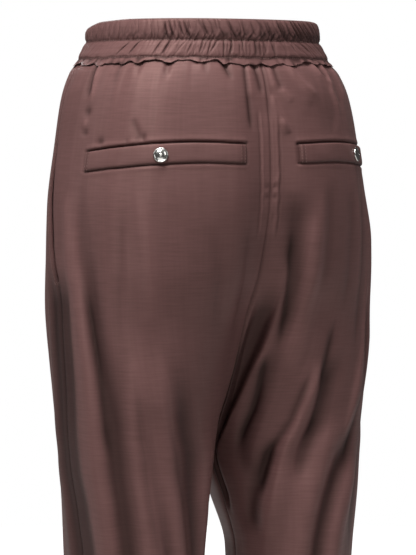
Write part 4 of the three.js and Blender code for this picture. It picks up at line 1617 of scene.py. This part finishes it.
@dataclass(frozen=True)
class Satin:
    """Polyester satin, woven from bright filament.

    Its floating yarns give a soft broad sheen along the folds, and thicker picks of weft show as
    faint level lines. They lie 0.4 mm apart in the real cloth and are drawn 1.7 mm apart, so that
    they show.
    """

    light: str = "#6e4f4d"
    dark: str = "#644745"
    sheen: str = "#c9a49c"
    gloss: str = "#d9b0a6"
    pick: float = 1.7 * MM
    slub: float = 26 * MM
    warp_width: float = 3 * MM
    warp_length: float = 60 * MM
    roughness: float = 0.5
    spread: float = 0.05

    def build(self) -> bpy.types.Material:
        """Builds the material."""
        finish = Finish("polyester satin")
        place = finish.node("ShaderNodeUVMap", {"uv_map": "cloth"})
        picks = finish.node(
            "ShaderNodeMapping", Vector=place.outputs[0], Scale=(1 / self.slub, 1 / self.pick, 1.0)
        )
        weft = finish.node(
            "ShaderNodeTexNoise", {"noise_dimensions": "2D"}, Vector=picks.outputs[0], Scale=1.0, Detail=2.0
        )
        upright = finish.node(
            "ShaderNodeMapping",
            Vector=place.outputs[0],
            Scale=(1 / self.warp_width, 1 / self.warp_length, 1.0),
        )
        warp = finish.node(
            "ShaderNodeTexNoise", {"noise_dimensions": "2D"}, Vector=upright.outputs[0], Scale=1.0, Detail=3.0
        )
        cloud = finish.node(
            "ShaderNodeTexNoise", {"noise_dimensions": "2D"}, Vector=place.outputs[0], Scale=22.0, Detail=2.0
        )
        yarns = finish.node("ShaderNodeMath", {"operation": "MULTIPLY_ADD"}, (weft.outputs[0], 0.6, 0.0))
        both = finish.node(
            "ShaderNodeMath", {"operation": "MULTIPLY_ADD"}, (warp.outputs[0], 0.25, yarns.outputs[0])
        )
        tone = finish.node(
            "ShaderNodeMath", {"operation": "MULTIPLY_ADD"}, (cloud.outputs[0], 0.25, both.outputs[0])
        )
        ramp = finish.node("ShaderNodeValToRGB", None, (tone.outputs[0],))
        ramp.color_ramp.elements[0].position, ramp.color_ramp.elements[1].position = 0.36, 0.72
        ramp.color_ramp.elements[0].color = linear(self.dark)
        ramp.color_ramp.elements[1].color = linear(self.light)
        # The floats of satin run level, so a highlight is drawn out up and down the folds
        grain = finish.node("ShaderNodeTangent", {"direction_type": "UV_MAP", "uv_map": "cloth"})
        # Painted shade: the mesh's painted shade attribute darkens the colour down creases and in hollows,
        # and lightens it on ridges as a painted highlight
        recess = finish.node("ShaderNodeAttribute", {"attribute_name": "recess"})
        shade = finish.node(
            "ShaderNodeMapRange",
            {"clamp": False},
            Value=recess.outputs["Fac"],
            **{"To Min": 1.0, "To Max": 0.3},
        )
        colour = finish.node(
            "ShaderNodeVectorMath", {"operation": "SCALE"}, (ramp.outputs[0],), Scale=shade.outputs[0]
        )
        bump = finish.node("ShaderNodeBump", Strength=0.28, Distance=0.1 * MM, Height=both.outputs[0])
        gloss = finish.node(
            "ShaderNodeMapRange",
            Value=tone.outputs[0],
            **{"To Min": self.roughness + self.spread, "To Max": self.roughness - self.spread},
        )
        finish.set(
            Base_Color=colour.outputs[0],
            Roughness=gloss.outputs[0],
            IOR=1.5,
            Specular_IOR_Level=0.5,
            Specular_Tint=linear(self.gloss),
            Anisotropic=0.75,
            Anisotropic_Rotation=0.25,
            Tangent=grain.outputs[0],
            Sheen_Weight=0.06,
            Sheen_Roughness=0.35,
            Sheen_Tint=linear(self.sheen),
            Normal=bump.outputs[0],
        )
        return finish.material


@dataclass(frozen=True)
class Thread:
    """Polyester sewing thread in the cloth's colour: spun, so duller and a little lighter than it."""

    colour: str = "#8a6a64"
    shaded: str = "#6d4f4a"
    ply: float = 0.4 * MM

    def build(self) -> bpy.types.Material:
        """Builds the material."""
        finish = Finish("polyester thread")
        place = finish.node("ShaderNodeTexCoord")
        twist = finish.node(
            "ShaderNodeTexNoise", Vector=place.outputs["Object"], Scale=1 / self.ply, Detail=1.0
        )
        ramp = finish.node("ShaderNodeValToRGB", None, (twist.outputs[0],))
        ramp.color_ramp.elements[0].color = linear(self.shaded)
        ramp.color_ramp.elements[1].color = linear(self.colour)
        bump = finish.node("ShaderNodeBump", Strength=0.3, Distance=0.05 * MM, Height=twist.outputs[0])
        finish.set(Base_Color=ramp.outputs[0], Roughness=0.6, Normal=bump.outputs[0])
        return finish.material


@dataclass(frozen=True)
class Nickel:
    """Nickel plated brass, pressed and polished: a clear cool mirror with hairline wear."""

    colour: str = "#d8d6d1"
    hairline: float = 0.5 * MM
    smoothest: float = 0.16
    roughest: float = 0.28

    def build(self) -> bpy.types.Material:
        """Builds the material."""
        finish = Finish("polished nickel")
        place = finish.node("ShaderNodeTexCoord")
        wear = finish.node(
            "ShaderNodeTexNoise", Vector=place.outputs["Object"], Scale=1 / self.hairline, Detail=4.0
        )
        rough = finish.node(
            "ShaderNodeMapRange",
            Value=wear.outputs[0],
            **{"To Min": self.smoothest, "To Max": self.roughest},
        )
        bump = finish.node("ShaderNodeBump", Strength=0.15, Distance=0.02 * MM, Height=wear.outputs[0])
        finish.set(
            Base_Color=linear(self.colour), Metallic=1.0, Roughness=rough.outputs[0], Normal=bump.outputs[0]
        )
        return finish.material


@dataclass(frozen=True)
class Lamp:
    """A square softbox: its place round the object, the height it faces, its side and its watts."""

    name: str
    turn: float
    distance: float
    height: float
    aim: float
    size: float
    power: float


@dataclass
class Studio:
    """A pale floor that fades into a white backdrop, soft lights and the camera."""

    turn: float = 33.0
    distance: float = 3.0
    aside: float = 0.0068
    height: float = -0.1005
    pitch: float = 2.795
    lens: float = 185.3
    floor: float = -1.0
    floor_radius: float = 3.6
    # How much the backdrop and the floor's middle glow
    dim: float = 0.06

    LAMPS = (
        Lamp("key", 60, 1.05, 1.42, 0, 0.7, 37),
        Lamp("left", 115, 1.5, 0.8, -0.25, 0.8, 5),
        Lamp("right", -10, 1.6, 0.7, -0.25, 0.8, 5),
        Lamp("top", -8, 0.5, 1.9, 0, 0.6, 24),
        Lamp("front", 205, 1.7, 1.1, -0.25, 0.9, 16),
    )
    CAP_LAMP = Lamp("low", 40, 1.2, -0.75, -0.1, 1, 3)

    @staticmethod
    def place(turn: float, distance: float, height: float) -> Vector:
        """A place round the object, by degrees from +Y towards +X, and metres."""
        angle = math.radians(turn)
        return Vector((math.sin(angle) * distance, math.cos(angle) * distance, height))

    def camera(self) -> None:
        """Sets the camera where the photograph was taken from."""
        angle = math.radians(self.turn)
        data = bpy.data.cameras.new("camera")
        data.lens = self.lens
        data.clip_end = 100
        camera = bpy.data.objects.new("camera", data)
        aside = Vector((-math.cos(angle), math.sin(angle), 0)) * self.aside
        camera.location = self.place(self.turn, self.distance, self.height) + aside
        camera.rotation_euler = (math.radians(90 - self.pitch), 0, math.radians(180 - self.turn))
        bpy.context.scene.collection.objects.link(camera)
        bpy.context.scene.camera = camera

    def softbox(self, lamp: Lamp) -> bpy.types.Object:
        """Adds one square softbox that faces the object's middle line.

        Args:
            lamp: its place, size and power.

        Returns:
            The light.
        """
        data = bpy.data.lights.new(lamp.name, "AREA")
        data.shape = "SQUARE"
        data.size = lamp.size
        data.energy = lamp.power
        light = bpy.data.objects.new(lamp.name, data)
        light.location = self.place(lamp.turn, lamp.distance, lamp.height)
        aim = Vector((0, 0, lamp.aim)) - light.location
        light.rotation_euler = aim.to_track_quat("-Z", "Y").to_euler()
        bpy.context.scene.collection.objects.link(light)
        return light

    def lights(self) -> None:
        """Sets the lights for the cloth, then a low one that only the press studs reflect."""
        for lamp in self.LAMPS:
            self.softbox(lamp)
        caps = bpy.data.collections.new("press stud caps")
        for piece in bpy.data.objects:
            if piece.name.startswith("snap"):
                caps.objects.link(piece)
        self.softbox(self.CAP_LAMP).light_linking.receiver_collection = caps

    def world(self) -> None:
        """Sets a backdrop that is white to the camera and lights the cloth only softly."""
        world = bpy.data.worlds.new("studio")
        bpy.context.scene.world = world
        world.use_nodes = True
        tree = world.node_tree
        back = tree.nodes["Background"]
        seen = add_node(tree, "ShaderNodeLightPath")
        strength = add_node(
            tree,
            "ShaderNodeMapRange",
            named={"Value": seen.outputs["Is Camera Ray"], "To Min": self.dim, "To Max": 1.0},
        )
        back.inputs["Color"].default_value = (1, 1, 1, 1)
        tree.links.new(strength.outputs[0], back.inputs["Strength"])

    def ground(self) -> None:
        """Lays the floor: white matt paper that meets the backdrop without a line."""
        count, sides = 24, 96
        rings = np.linspace(0.05, 1, count)[:, None] ** 1.5 * self.floor_radius
        angle = np.linspace(0, 2 * math.pi, sides, endpoint=False)
        level = np.full((count, sides), self.floor)
        grid = np.stack([rings * np.cos(angle), rings * np.sin(angle), level], axis=-1)
        mesh = bpy.data.meshes.new("floor")
        points = grid.reshape(-1, 3).tolist() + [[0, 0, self.floor]]
        quads = grid_quads(count, sides, ring=True)[:, ::-1].tolist()
        middle = [(count * sides, i, (i + 1) % sides) for i in range(sides)]
        mesh.from_pydata(points, [], quads + middle)
        floor = link_mesh("floor", mesh)
        finish = Finish("matt white paper")
        place = finish.node("ShaderNodeTexCoord")
        away = finish.node("ShaderNodeVectorMath", {"operation": "LENGTH"}, (place.outputs["Object"],))
        glow = finish.node(
            "ShaderNodeMapRange",
            {"interpolation_type": "SMOOTHSTEP"},
            Value=away.outputs["Value"],
            **{"From Min": 1.8, "From Max": 3.1, "To Min": self.dim, "To Max": 1.0},
        )
        seen = finish.node("ShaderNodeLightPath")
        shown = finish.node(
            "ShaderNodeMath", {"operation": "MULTIPLY"}, (glow.outputs[0], seen.outputs["Is Camera Ray"])
        )
        finish.set(
            Base_Color=linear("#e8e8e6"),
            Roughness=0.9,
            Emission_Color=(1, 1, 1, 1),
            Emission_Strength=shown.outputs[0],
        )
        mesh.materials.append(finish.material)

    def build(self) -> None:
        """Sets up everything round the object."""
        bpy.context.scene.view_settings.view_transform = "Standard"
        self.camera()
        self.lights()
        self.world()
        self.ground()


def corners(box: tuple[Vector, Vector]) -> list[list[float]]:
    """A box's two corners as plain lists."""
    return [list(box[0]), list(box[1])]


def main() -> None:
    """Builds the track pants piece by piece, then the studio."""
    logging.basicConfig(level=logging.INFO, format="%(name)s: %(message)s")
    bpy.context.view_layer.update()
    satin = Satin().build()
    thread = Thread().build()
    nickel = Nickel().build()
    for side in Side:
        Panel(side, Part.BACK, 134, (0.29, 0.945), 0.222).build(satin)
        Panel(side, Part.FRONT, 84, (0.25, 0.945), 0.179).build(satin)
        PocketWelt(side).build(satin)
        SidePocket(side).build(satin)
        PressStud(side, SNAP_SHARES[side]).build(nickel)
    band = Waistband()
    band.build(satin)
    Stitching(band, thread).build()
    Studio().build()
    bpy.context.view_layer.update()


if __name__ == "__main__":
    main()
